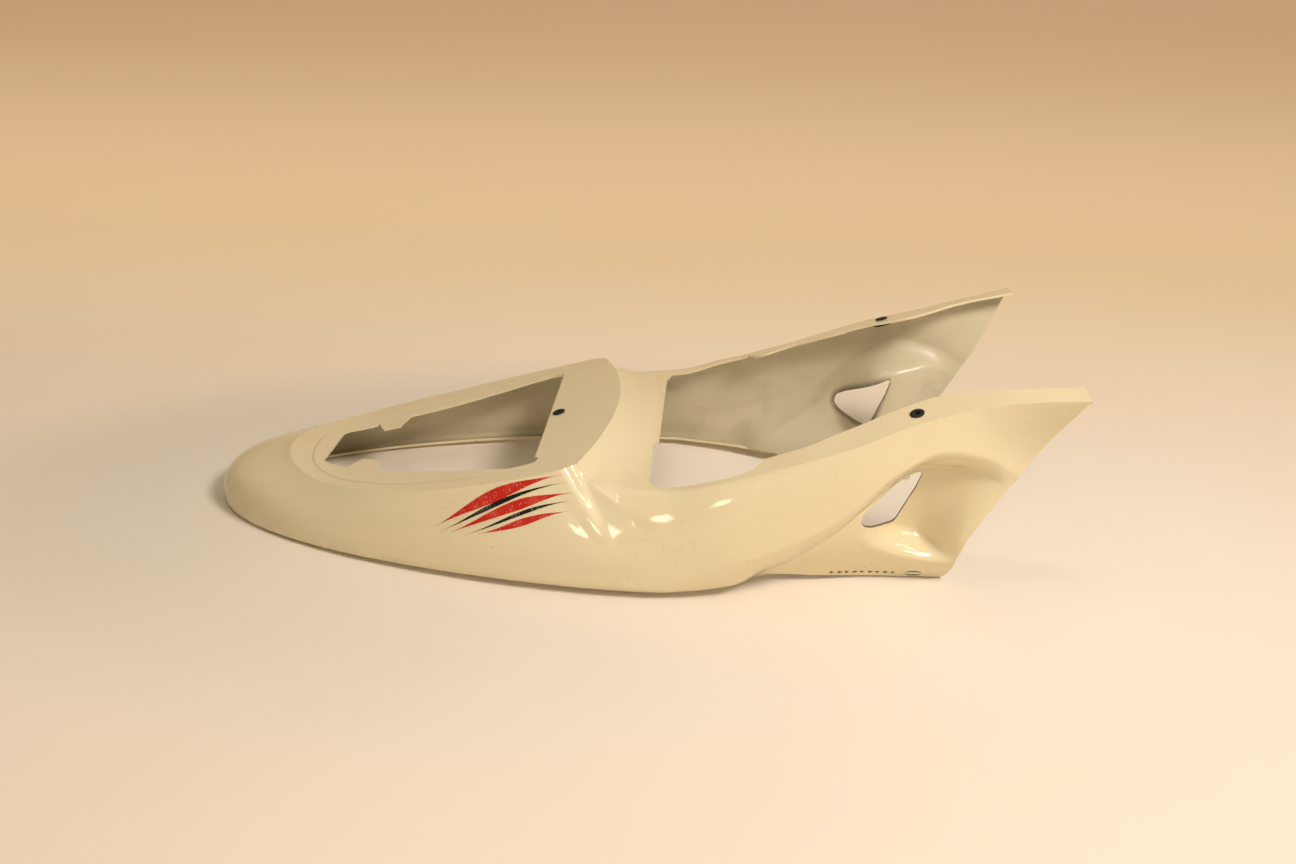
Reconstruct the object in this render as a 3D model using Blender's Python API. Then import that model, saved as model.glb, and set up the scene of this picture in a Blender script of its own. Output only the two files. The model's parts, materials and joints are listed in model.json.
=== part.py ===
"""Motorcycle tail fairing: one moulded shell on three rubber grommets.

X runs forward along the motorcycle, Y to its left and Z up, in metres. The
shell lies as it rests on a floor: on the end of its tail and on its two legs.
Its skin is lofted through sections that fan around the tail and then run
forward to the legs, mirrored, given its wall, and cut.
"""

import math

import bmesh
import bpy
from mathutils import Vector

# Wall of the moulding
WALL = 0.003
LIP_WIDTH = 0.007
LEG_LIP_WIDTH = 0.0055
LIP_RISE = 0.0008

# Passenger deck: an ellipse in plan that is cut off by a bowed front edge
DECK_REAR_X = -0.285
DECK_WIDE_X = -0.050
DECK_FAN_X = -0.240
DECK_HALF_WIDTH = 0.121
DECK_CORNER_X = -0.020
DECK_FRONT_X = 0.003
DECK_HEIGHTS = (
    (-0.300, 0.0520),
    (-0.250, 0.0495),
    (-0.186, 0.0575),
    (-0.078, 0.0820),
    (-0.020, 0.0985),
    (0.010, 0.1075),
)

# Lower edge of the body in plan: a superellipse from the tail to the bulge
TAIL_X = -0.3465
BULGE_X = 0.020
BULGE_HALF_WIDTH = 0.1445
BULGE_POWER = 1.6
BULGE_CLEARANCE = 0.0055
TAIL_CLEARANCE = 0.0
TAIL_OVERHANG = 0.0035
SIDE_OVERHANG = 0.0050
TAIL_FLANK_HEIGHT = 0.007
FLANK_HEIGHT = 0.022

# Sections from the deck to the legs, each value given at the X of the top edge
LEG_END_X = 0.3488
TOP_EDGE_Y = (
    (-0.050, 0.1160),
    (-0.006, 0.1185),
    (0.012, 0.1215),
    (0.045, 0.1280),
    (0.094, 0.1330),
    (0.130, 0.1315),
    (0.181, 0.1310),
    (0.223, 0.1250),
    (0.270, 0.1195),
    (0.304, 0.1240),
    (LEG_END_X, 0.1360),
)
TOP_EDGE_Z = (
    (-0.050, 0.0860),
    (-0.006, 0.0860),
    (0.012, 0.0835),
    (0.045, 0.0845),
    (0.094, 0.0965),
    (0.130, 0.1080),
    (0.181, 0.1265),
    (0.223, 0.1440),
    (0.257, 0.1550),
    (0.304, 0.1680),
    (LEG_END_X, 0.1770),
)
FLANK_X = (
    (-0.050, 0.020),
    (-0.020, 0.032),
    (0.045, 0.062),
    (0.094, 0.098),
    (0.130, 0.133),
    (0.181, 0.182),
    (0.223, 0.222),
    (0.257, 0.252),
    (0.304, 0.284),
    (LEG_END_X, 0.3135),
)
FLANK_Y = (
    (-0.050, 0.1495),
    (0.000, 0.1500),
    (0.045, 0.1490),
    (0.094, 0.1440),
    (0.130, 0.1370),
    (0.181, 0.1285),
    (0.257, 0.1235),
    (LEG_END_X, 0.1200),
)
FLANK_Z = (
    (-0.050, 0.022),
    (0.020, 0.023),
    (0.045, 0.026),
    (0.094, 0.034),
    (0.130, 0.044),
    (0.181, 0.070),
    (0.223, 0.109),
    (0.257, 0.126),
    (0.304, 0.123),
    (LEG_END_X, 0.106),
)
FOOT_X = (
    (-0.050, 0.020),
    (-0.020, 0.034),
    (0.045, 0.070),
    (0.094, 0.103),
    (0.130, 0.132),
    (0.181, 0.174),
    (0.257, 0.222),
    (LEG_END_X, 0.264),
)
FOOT_Y = (
    (-0.050, 0.1445),
    (0.000, 0.1445),
    (0.045, 0.1400),
    (0.094, 0.1305),
    (0.130, 0.1190),
    (0.181, 0.1100),
    (0.257, 0.0985),
    (LEG_END_X, 0.0905),
)
FOOT_Z = (
    (-0.050, 0.0055),
    (0.045, 0.0060),
    (0.094, 0.0072),
    (0.130, 0.0085),
    (0.181, 0.0055),
    (0.257, 0.0020),
    (LEG_END_X, 0.0000),
)

# Fullness of the side: share of a section's chord that its end tangents reach
SIDE_GRIP = 0.40
TAIL_TOP_GRIP = 0.26
TAIL_FOOT_GRIP = 0.48

# Slope of the skin where it leaves the top edge, in degrees below level
TAIL_TOP_SLOPES = ((0.0, 24.0), (30.0, 38.0), (60.0, 52.0), (90.0, 58.0))
FRONT_TOP_SLOPES = (
    (-0.050, 34.0),
    (0.012, 18.0),
    (0.045, 12.0),
    (0.094, 14.0),
    (0.130, 30.0),
    (0.181, 58.0),
    (0.257, 78.0),
    (LEG_END_X, 86.0),
)
FOOT_SLOPES = (
    (-0.050, 172.0),
    (0.094, 168.0),
    (0.130, 128.0),
    (0.181, 118.0),
    (LEG_END_X, 130.0),
)

# Edge that runs down the flank from the deck's front corner and fades
DECK_EDGE_Y = (
    (DECK_WIDE_X, DECK_HALF_WIDTH),
    (-0.034, 0.1205),
    (DECK_CORNER_X, 0.1155),
    (0.060, 0.1080),
)
DECK_CORNER_SLOPE = 60.0
CREASE_WIDTH = 0.020
CREASE_FADE = 0.110

# Flange along the top of each leg
FLANGE_EDGE_Y = (
    (0.030, 0.1180),
    (0.045, 0.1190),
    (0.094, 0.1255),
    (0.115, 0.1225),
    (0.119, 0.1160),
    (0.128, 0.1115),
    (0.150, 0.1125),
    (0.183, 0.1060),
    (0.219, 0.0990),
    (0.250, 0.0920),
    (0.265, 0.0930),
    (0.297, 0.1030),
    (0.352, 0.1150),
)
FLANGE_RISE = (
    (0.030, 0.0000),
    (0.094, 0.0010),
    (0.130, 0.0040),
    (0.181, 0.0065),
    (0.270, 0.0055),
    (0.352, 0.0030),
)
FLANGE_SPARE = 0.006

# Bridge between the deck and the rider's opening
RIDER_REAR_X = 0.0355
RIDER_TONGUE_X = 0.0395
RIDER_CORNER_RADIUS = 0.012
TONGUE_RIGHT_Y = -0.038
TONGUE_LEFT_Y = 0.094
TONGUE_RADIUS = 0.002
TONGUE_SLANT = 0.007
RIDER_CORNER_X = 0.045
RIDER_EDGE_X = 0.060
RIDER_OVERRUN = 0.010
BRIDGE_END_X = 0.070
BRIDGE_MID_HEIGHTS = (
    (0.003, 0.1055),
    (0.014, 0.0980),
    (0.026, 0.0900),
    (0.038, 0.0850),
    (0.070, 0.0840),
)

# Passenger opening: corners of each side from front to rear, with their radii
OPENING_RIGHT = (
    (-0.0570, -0.0850, 0.0),
    (-0.0545, -0.0860, 0.0010),
    (-0.0545, -0.0920, 0.0010),
    (-0.0575, -0.0960, 0.0030),
    (-0.0750, -0.0975, 0.0300),
    (-0.1960, -0.0590, 0.0),
    (-0.1970, -0.0420, 0.0010),
    (-0.1990, -0.0385, 0.0020),
    (-0.2135, -0.0325, 0.0030),
    (-0.2190, -0.0400, 0.0040),
    (-0.2235, -0.0490, 0.0050),
    (-0.2490, -0.0330, 0.0080),
)
OPENING_LEFT = (
    (-0.0570, 0.0900, 0.0),
    (-0.0570, 0.0965, 0.0020),
    (-0.0680, 0.0985, 0.0060),
    (-0.0860, 0.0940, 0.0200),
    (-0.1940, 0.0560, 0.0),
    (-0.1965, 0.0450, 0.0020),
    (-0.1985, 0.0335, 0.0020),
    (-0.2130, 0.0290, 0.0030),
    (-0.2155, 0.0320, 0.0020),
    (-0.2205, 0.0435, 0.0040),
    (-0.2250, 0.0400, 0.0050),
    (-0.2480, 0.0290, 0.0080),
)
SLIT_WIDTH = 0.0018
SLIT_LENGTH = 0.0125
SLIT_Y = 0.0985

# Scooped leg with its through hole
SCOOP_DEPTH = 0.025
SCOOP_REAR_X = 0.197
SCOOP_FULL_X = 0.238
SCOOP_VANE_X = 0.246
ROOF_HEIGHTS = (
    (0.199, 0.060),
    (0.231, 0.070),
    (0.249, 0.076),
    (0.265, 0.088),
    (0.283, 0.102),
    (0.310, 0.107),
)
LEDGE_INNER_HEIGHTS = (
    (0.110, 0.020),
    (0.160, 0.040),
    (0.197, 0.058),
    (0.219, 0.052),
    (0.233, 0.048),
    (0.273, 0.034),
    (0.290, 0.028),
)
LEDGE_OUTER_HEIGHTS = (
    (0.110, 0.012),
    (0.160, 0.027),
    (0.197, 0.040),
    (0.213, 0.033),
    (0.233, 0.027),
    (0.265, 0.022),
    (0.290, 0.018),
)
HOLE_OUTLINE = (
    (0.2475, 0.1015),
    (0.2335, 0.0962),
    (0.2220, 0.0918),
    (0.2085, 0.0812),
    (0.2003, 0.0715),
    (0.1985, 0.0635),
    (0.2025, 0.0580),
    (0.2090, 0.0545),
    (0.2180, 0.0520),
    (0.2290, 0.0505),
    (0.2340, 0.0620),
    (0.2385, 0.0735),
    (0.2425, 0.0830),
)
HOLE_ROUNDING = 0.004
PANEL_INSET = 0.0035
PANEL_START_X = 0.129
PANEL_FADE_X = 0.195
PANEL_HEIGHT = 0.034
PANEL_LEAN = 0.9
PANEL_STEP = 0.006
LEG_CORNER_RADIUS = 0.010

# Reach of the cutters beyond what they cut
CUT_SPARE = 0.016
EDGE_SPARE = 0.001
LEG_CUT_INNER_Y = 0.080
LEG_CUT_OUTER_Y = 0.170

# Rubber grommets and the flat pads that carry them
GROMMET_BORE = 0.0022
GROMMET_WAIST = 0.0040
GROMMET_TOP_LIP = 0.0054
GROMMET_UNDER_LIP = 0.0088
GROMMET_TOP_HEIGHT = 0.0010
GROMMET_UNDER_HEIGHT = 0.0022
GROMMET_ROUNDING = 0.0004
GROMMET_CLEARANCE = 0.0003
PAD_RADIUS = 0.019
SEAT_GROMMET_X = -0.049
LEG_GROMMET_X = 0.2335
LEG_GROMMET_SHARE = 0.885

# Mesh density
TAIL_STATIONS = 14
FRONT_STATIONS = 39
UPPER_CELLS = 6
ROOF_CELLS = 5
LEDGE_CELLS = 3
FOOT_CELLS = 2
LEG_CELLS_REAR_X = 0.090
LEG_CELLS_FULL_X = 0.130
LIP_CELLS = 1
FLANGE_CELLS = 3
CENTRE_CELLS = 5
GROMMET_SIDES = 24
CORNER_SIDES = 6
SMOOTH_ANGLE = math.radians(32)
MERGE = 0.00002


def lerp(a, b, t):
    """Blend two numbers."""
    return a + (b - a) * t


def ease(t):
    """Rise smoothly from 0 to 1."""
    t = min(max(t, 0.0), 1.0)
    return t * t * (3.0 - 2.0 * t)


def slope_at(knots, i):
    """Tangent of a monotone curve at one of its knots."""
    if i == 0 or i == len(knots) - 1:
        j = 0 if i == 0 else i - 1
        return (knots[j + 1][1] - knots[j][1]) / (knots[j + 1][0] - knots[j][0])
    before = (knots[i][1] - knots[i - 1][1]) / (knots[i][0] - knots[i - 1][0])
    after = (knots[i + 1][1] - knots[i][1]) / (knots[i + 1][0] - knots[i][0])
    if before * after <= 0.0:
        return 0.0
    return 2.0 * before * after / (before + after)


def curve(knots, x):
    """Smooth curve through (x, value) knots, without overshoot."""
    if x <= knots[0][0]:
        return knots[0][1]
    if x >= knots[-1][0]:
        return knots[-1][1]
    i = 0
    while knots[i + 1][0] < x:
        i += 1
    (x0, y0), (x1, y1) = knots[i], knots[i + 1]
    h = x1 - x0
    t = (x - x0) / h
    m0 = slope_at(knots, i) * h
    m1 = slope_at(knots, i + 1) * h
    a = (2 * t ** 3 - 3 * t ** 2 + 1) * y0 + (t ** 3 - 2 * t ** 2 + t) * m0
    return a + (-2 * t ** 3 + 3 * t ** 2) * y1 + (t ** 3 - t ** 2) * m1


def deck_height(x):
    """Height of the passenger deck, which is level from side to side."""
    return curve(DECK_HEIGHTS, x)


def bezier(p0, p1, p2, p3, t):
    """Point of a cubic curve."""
    s = 1.0 - t
    return tuple(
        s ** 3 * a + 3 * s * s * t * b + 3 * s * t * t * c + t ** 3 * d
        for a, b, c, d in zip(p0, p1, p2, p3)
    )


class Station:
    """One section of the right half: its top edge, flank, foot and outward direction."""

    def __init__(self, top, flank, foot, outward, top_slope, foot_slope, lip, grips=None):
        self.grips = grips or (SIDE_GRIP, SIDE_GRIP)
        self.start = Vector(top)
        self.deck = None
        self.flank = Vector(flank)
        self.foot = Vector(foot)
        self.outward = Vector((outward[0], outward[1], 0.0)).normalized()
        self.top_slope = math.radians(top_slope)
        self.foot_slope = math.radians(foot_slope)
        self.lip = lip
        self.top = self.start

    def follow_deck(self, x):
        """Blend the section with one that hangs from the deck's edge, behind the crease."""
        self.deck = Vector((x, -curve(DECK_EDGE_Y, x), deck_height(x)))
        self.ahead = x - DECK_CORNER_X
        self.top = self.upper(0.0)

    def piece(self, start, end, start_slope, end_slope, t):
        """Point of the curve between two of the section's corners."""
        step = end - start
        reach = step.dot(self.outward)
        drop = -step.z
        chord = math.hypot(reach, drop)
        first, last = (grip * chord for grip in self.grips)
        p1 = (first * math.cos(start_slope), first * math.sin(start_slope))
        p2 = (reach - last * math.cos(end_slope), drop - last * math.sin(end_slope))
        out, down = bezier((0.0, 0.0), p1, p2, (reach, drop), t)
        share = down / drop if abs(drop) > 1e-6 else t
        along = Vector((step.x, step.y, 0.0)) - self.outward * reach
        point = start + self.outward * out + along * share
        point.z = start.z - down
        return point

    def upper(self, t):
        """From the top edge to the flank."""
        own = self.piece(self.start, self.flank, self.top_slope, math.pi / 2, t)
        if self.deck is None:
            return own
        slope = math.radians(DECK_CORNER_SLOPE)
        hung = self.piece(self.deck, self.flank, slope, math.pi / 2, t)
        return hung.lerp(own, ease(self.ahead / lerp(CREASE_WIDTH, CREASE_FADE, t)))

    def lower(self, t):
        """From the flank to the foot."""
        return self.piece(self.flank, self.foot, math.pi / 2, self.foot_slope, t)

    def rim(self, t):
        """From the foot inward along the lip."""
        point = self.foot - self.outward * self.lip * t
        point.z = self.foot.z + LIP_RISE * t
        return point


def tail_station(angle):
    """Section of the fan around the tail, at an angle in degrees from the midplane."""
    a = math.radians(angle)
    long = DECK_WIDE_X - DECK_REAR_X
    top_x = DECK_WIDE_X - long * math.cos(a)
    top = (top_x, -DECK_HALF_WIDTH * math.sin(a), deck_height(top_x))
    b = a + math.radians(10.0) * math.sin(2 * a) * math.cos(a)
    foot_x = BULGE_X - (BULGE_X - TAIL_X) * math.cos(b)
    width = math.sqrt(max(1.0 - math.cos(b) ** BULGE_POWER, 0.0)) if angle < 90 else 1.0
    foot_y = -BULGE_HALF_WIDTH * width
    foot = (foot_x, foot_y, lerp(TAIL_CLEARANCE, BULGE_CLEARANCE, math.sin(a) ** 2))
    outward = (-math.cos(a) / long, -math.sin(a) / DECK_HALF_WIDTH)
    side = Vector((outward[0], outward[1], 0.0)).normalized()
    flank = Vector(foot) + side * lerp(TAIL_OVERHANG, SIDE_OVERHANG, math.sin(a))
    flank.z = lerp(TAIL_FLANK_HEIGHT, FLANK_HEIGHT, math.sin(a))
    slopes = (curve(TAIL_TOP_SLOPES, angle), FOOT_SLOPES[0][1])
    grips = (lerp(TAIL_TOP_GRIP, SIDE_GRIP, math.sin(a)), lerp(TAIL_FOOT_GRIP, SIDE_GRIP, math.sin(a)))
    return Station(top, flank, foot, outward, *slopes, LIP_WIDTH, grips)


def front_station(x):
    """Section of the body and leg whose top edge is at x."""
    top = (x, -curve(TOP_EDGE_Y, x), curve(TOP_EDGE_Z, x))
    flank = (curve(FLANK_X, x), -curve(FLANK_Y, x), curve(FLANK_Z, x))
    foot = (curve(FOOT_X, x), -curve(FOOT_Y, x), curve(FOOT_Z, x))
    lip = lerp(LIP_WIDTH, LEG_LIP_WIDTH, ease((foot[0] - BULGE_X) / (PANEL_START_X - BULGE_X)))
    slopes = (curve(FRONT_TOP_SLOPES, x), curve(FOOT_SLOPES, x))
    station = Station(top, flank, foot, (0.0, -1.0), *slopes, lip)
    if x < DECK_CORNER_X + CREASE_FADE:
        station.follow_deck(x)
    return station


def leg_front_x(z):
    """X of the leg's sloping front edge at a height."""
    return lerp(FOOT_X[-1][1], FLANK_X[-1][1], z / FLANK_Z[-1][1])


def scoop_sink(x, z, crease):
    """How far the scoop takes the skin inward at a point of the leg."""
    outer = curve(LEDGE_OUTER_HEIGHTS, x)
    if x < SCOOP_REAR_X or not outer < z < crease:
        return 0.0
    front = leg_front_x(z)
    rise = ease((x - SCOOP_REAR_X) / (SCOOP_FULL_X - SCOOP_REAR_X))
    fall = ease((front - x) / (front - SCOOP_VANE_X))
    roof = ease((crease - z) / (crease - curve(ROOF_HEIGHTS, x)))
    ledge = ease((z - outer) / (curve(LEDGE_INNER_HEIGHTS, x) - outer))
    return SCOOP_DEPTH * rise * fall * roof * ledge


def panel_sink(x, z):
    """Inset of the lower leg panel behind the arm's fading ridge."""
    ridge_x = PANEL_START_X + PANEL_LEAN * z
    step = ease((x - ridge_x) / PANEL_STEP)
    fade = 1.0 - ease((x - PANEL_START_X) / (PANEL_FADE_X - PANEL_START_X))
    return PANEL_INSET * step * fade * (1.0 - ease(z / PANEL_HEIGHT))


def front_xs():
    """X of the top edge at each front section, closer together at the deck corner."""
    marks = (DECK_CORNER_X, -0.0155, -0.011, -0.006, 0.004)
    count = FRONT_STATIONS - len(marks)
    rear = [lerp(DECK_WIDE_X, DECK_CORNER_X, t) for t in (0.33, 0.66)]
    first, last = 0.016, TOP_EDGE_Y[-1][0]
    return rear + list(marks) + [lerp(first, last, i / (count - 1)) for i in range(count)]


def deck_point(station, x, q):
    """Point of the deck or bridge at share q of the way from the midplane to the top edge."""
    top = station.top
    if x is None:
        share = (top.x - DECK_WIDE_X) / (DECK_REAR_X - DECK_WIDE_X)
        mid_x = lerp(DECK_WIDE_X, DECK_FAN_X, share)
        px = lerp(mid_x, top.x, q)
        return Vector((px, top.y * q, deck_height(px)))
    if x <= DECK_CORNER_X:
        ahead = ease((x - DECK_WIDE_X) / (DECK_CORNER_X - DECK_WIDE_X))
        mid_x = lerp(top.x, DECK_FRONT_X, ahead)
        px = mid_x - (mid_x - top.x) * q * q
        return Vector((px, top.y * q, deck_height(px)))
    mid_x = lerp(DECK_FRONT_X, BRIDGE_END_X, (x - DECK_CORNER_X) / (BRIDGE_END_X - DECK_CORNER_X))
    mid_z = curve(BRIDGE_MID_HEIGHTS, mid_x)
    px = mid_x - (mid_x - top.x) * q * q
    return Vector((px, top.y * q, lerp(mid_z, top.z, q ** 3)))


def inner_share(station, x):
    """Share of the half width at which the flange columns end."""
    if x is None or x < 0.030:
        return 0.78
    edge = curve(FLANGE_EDGE_Y, x) - FLANGE_SPARE
    return edge / -station.top.y


def flange_point(station, x, q, inner):
    """Point of the leg's top flange at share q, which rises towards its inner edge."""
    if x is None or x <= BRIDGE_END_X:
        return deck_point(station, x, q)
    rise = curve(FLANGE_RISE, x) * (1.0 - q) / (1.0 - inner)
    return Vector((station.top.x, station.top.y * q, station.top.z + rise))


def share_at(station, heights):
    """Share of the side, below the flank, at which it meets a line of heights."""
    low, high = 0.0, 1.0
    for _ in range(30):
        middle = (low + high) / 2
        point = station.lower(middle)
        if point.z > curve(heights, point.x):
            low = middle
        else:
            high = middle
    return low


def lower_steps(station):
    """Shares of the side from the foot up to the flank, in rows that follow the ledge."""
    count = ROOF_CELLS + LEDGE_CELLS + FOOT_CELLS
    leg = ease((station.flank.x - LEG_CELLS_REAR_X) / (LEG_CELLS_FULL_X - LEG_CELLS_REAR_X))
    inner, outer = ROOF_CELLS / count, 1.0 - FOOT_CELLS / count
    if leg > 0.0:
        inner = lerp(inner, share_at(station, LEDGE_INNER_HEIGHTS), leg)
        outer = lerp(outer, share_at(station, LEDGE_OUTER_HEIGHTS), leg)
    steps = [lerp(1.0, outer, i / FOOT_CELLS) for i in range(FOOT_CELLS)]
    steps += [lerp(outer, inner, i / LEDGE_CELLS) for i in range(LEDGE_CELLS)]
    return steps + [lerp(inner, 0.0, i / ROOF_CELLS) for i in range(ROOF_CELLS)]


def section_points(station, x):
    """All points of one section, from the lip's end to the midplane."""
    points = [station.rim(1.0 - i / LIP_CELLS) for i in range(LIP_CELLS)]
    lower = [station.lower(t) for t in lower_steps(station)]
    crease = station.flank.z
    for p in lower:
        if x is not None:
            p.y += scoop_sink(p.x, p.z, crease) + panel_sink(p.x, p.z)
    points += lower
    points += [station.upper(1.0 - i / UPPER_CELLS) for i in range(UPPER_CELLS)]
    inner = inner_share(station, x)
    for i in range(FLANGE_CELLS + 1):
        points.append(flange_point(station, x, lerp(1.0, inner, i / FLANGE_CELLS), inner))
    if x is None or x <= BRIDGE_END_X:
        for i in range(1, CENTRE_CELLS + 1):
            points.append(deck_point(station, x, inner * (1.0 - i / CENTRE_CELLS)))
    return points


def seat_frame():
    """Centre and normal of the deck where the seat's grommet sits."""
    rise = (deck_height(SEAT_GROMMET_X + 0.01) - deck_height(SEAT_GROMMET_X - 0.01)) / 0.02
    centre = Vector((SEAT_GROMMET_X, 0.0, deck_height(SEAT_GROMMET_X)))
    return centre, Vector((-rise, 0.0, 1.0)).normalized()


def leg_frame():
    """Centre and normal of the right leg's flange where its grommet sits."""
    def at(x, q):
        station = front_station(x)
        return flange_point(station, x, q, inner_share(station, x))

    q = LEG_GROMMET_SHARE
    along = at(LEG_GROMMET_X + 0.01, q) - at(LEG_GROMMET_X - 0.01, q)
    across = at(LEG_GROMMET_X, q + 0.05) - at(LEG_GROMMET_X, q - 0.05)
    normal = along.cross(across).normalized()
    return at(LEG_GROMMET_X, q), normal if normal.z > 0 else -normal


def flatten_pads(bm):
    """Make the skin truly flat around each grommet."""
    for centre, normal in (seat_frame(), leg_frame()):
        for v in bm.verts:
            height = (v.co - centre).dot(normal)
            if (v.co - centre).length < PAD_RADIUS and abs(height) < WALL / 2:
                v.co -= normal * height


def build_skin():
    """Outer skin of the right half as a bmesh grid."""
    bm = bmesh.new()
    sections = []
    for i in range(TAIL_STATIONS + 1):
        sections.append(section_points(tail_station(90.0 * i / TAIL_STATIONS), None))
    for x in front_xs():
        sections.append(section_points(front_station(x), x))
    rows = [[bm.verts.new(p) for p in section] for section in sections]
    for a, b in zip(rows[:-1], rows[1:]):
        for j in range(min(len(a), len(b)) - 1):
            bm.faces.new((a[j], b[j], b[j + 1], a[j + 1]))
    bmesh.ops.remove_doubles(bm, verts=bm.verts, dist=MERGE)
    flatten_pads(bm)
    for v in bm.verts:
        if abs(v.co.y) < MERGE:
            v.co.y = 0.0
    bmesh.ops.recalc_face_normals(bm, faces=bm.faces)
    return bm


def material(name, colour, roughness):
    """Plain Principled material."""
    mat = bpy.data.materials.new(name)
    mat.use_nodes = True
    shader = mat.node_tree.nodes["Principled BSDF"]
    shader.inputs["Base Color"].default_value = (*colour, 1.0)
    shader.inputs["Roughness"].default_value = roughness
    shader.inputs["Metallic"].default_value = 0.0
    return mat


def new_object(name, bm, mat=None):
    """Object from a bmesh, in the scene's collection."""
    mesh = bpy.data.meshes.new(name)
    bm.to_mesh(mesh)
    bm.free()
    obj = bpy.data.objects.new(name, mesh)
    bpy.context.scene.collection.objects.link(obj)
    if mat:
        mesh.materials.append(mat)
    return obj


def prism(name, outline, low, high, axis="Z"):
    """Hidden cutter: an outline swept between two places along an axis."""
    bm = bmesh.new()

    def place(u, v, w):
        return (u, v, w) if axis == "Z" else (u, w, v)

    bottom = [bm.verts.new(place(u, v, low(u) if callable(low) else low)) for u, v in outline]
    upper = [bm.verts.new(place(u, v, high(u) if callable(high) else high)) for u, v in outline]
    count = len(outline)
    bm.faces.new(bottom)
    bm.faces.new(upper)
    for i in range(count):
        j = (i + 1) % count
        bm.faces.new((bottom[i], bottom[j], upper[j], upper[i]))
    bmesh.ops.triangulate(bm, faces=[f for f in bm.faces if len(f.verts) > 4])
    bmesh.ops.recalc_face_normals(bm, faces=bm.faces)
    cutter = new_object(name, bm)
    cutter.hide_render = True
    cutter.display_type = "WIRE"
    return cutter


def cut(target, cutter):
    """Take a cutter away from an object."""
    mod = target.modifiers.new("Cut " + cutter.name, "BOOLEAN")
    mod.operation = "DIFFERENCE"
    mod.solver = "EXACT"
    mod.object = cutter


def rounded(points, radii):
    """Outline with its corners rounded, from points and one radius a corner."""
    out = []
    count = len(points)
    for i, (p, r) in enumerate(zip(points, radii)):
        p = Vector(p)
        a = Vector(points[i - 1]) - p
        b = Vector(points[(i + 1) % count]) - p
        if r <= 0.0:
            out.append(tuple(p))
            continue
        half = a.angle(b) / 2
        reach = min(r / math.tan(half), 0.48 * min(a.length, b.length))
        start = p + a.normalized() * reach
        end = p + b.normalized() * reach
        for k in range(CORNER_SIDES + 1):
            t = k / CORNER_SIDES
            out.append(tuple(start * (1 - t) ** 2 + p * 2 * t * (1 - t) + end * t * t))
    return out


def passenger_outline():
    """Outline of the passenger opening, with a tab on each side."""
    corners = OPENING_RIGHT + tuple(reversed(OPENING_LEFT))
    return rounded([(x, y) for x, y, _ in corners], [r for _, _, r in corners])


def edge_steps():
    """Places along the flange's inner edge: its knots and the middles between them."""
    xs = [x for x, _ in FLANGE_EDGE_Y]
    middles = [(a + b) / 2 for a, b in zip(xs, xs[1:])]
    return [x for x in sorted(xs + middles) if x > RIDER_EDGE_X]


def rider_outline():
    """Outline of the rider's opening, which is open between the legs."""
    steps = edge_steps()
    front = steps[-1] + RIDER_OVERRUN
    half = curve(FLANGE_EDGE_Y, RIDER_CORNER_X)
    legs = [(x, curve(FLANGE_EDGE_Y, x)) for x in steps + [front]]
    small = TONGUE_RADIUS
    corners = [(RIDER_REAR_X, -half, RIDER_CORNER_RADIUS)]
    corners += [(x, -y, 0.0) for x, y in legs]
    corners += [(x, y, 0.0) for x, y in reversed(legs)]
    corners += [
        (RIDER_TONGUE_X + 2 * small, half, 2 * small),
        (RIDER_TONGUE_X, TONGUE_LEFT_Y, small),
        (RIDER_TONGUE_X, TONGUE_RIGHT_Y, small),
        (RIDER_REAR_X, TONGUE_RIGHT_Y - TONGUE_SLANT, small),
    ]
    return rounded([(x, y) for x, y, _ in corners], [r for _, _, r in corners])


def top_height(x):
    """Height of the deck, bridge or flange at an X."""
    return deck_height(x) if x < DECK_WIDE_X else curve(TOP_EDGE_Z, x)


def below_top(x):
    """Lower face of a cutter that follows the top."""
    return top_height(x) - CUT_SPARE


def above_top(x):
    """Upper face of a cutter that follows the top."""
    return top_height(x) + 2 * CUT_SPARE


def round_cutter(name, centre, normal, radius):
    """Hidden round cutter through a grommet's pad."""
    bm = bmesh.new()
    bmesh.ops.create_cone(
        bm,
        cap_ends=True,
        segments=GROMMET_SIDES,
        radius1=radius,
        radius2=radius,
        depth=6 * WALL,
    )
    cutter = new_object(name, bm)
    cutter.location = centre
    cutter.rotation_euler = normal.to_track_quat("Z", "Y").to_euler()
    cutter.hide_render = True
    cutter.display_type = "WIRE"
    return cutter


def grommet_frames():
    """Name, centre and normal of each grommet."""
    seat, seat_normal = seat_frame()
    leg, leg_normal = leg_frame()
    flip = Vector((1.0, -1.0, 1.0))
    return (
        ("seat_grommet", seat, seat_normal),
        ("right_leg_grommet", leg, leg_normal),
        ("left_leg_grommet", leg * flip, leg_normal * flip),
    )


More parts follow.
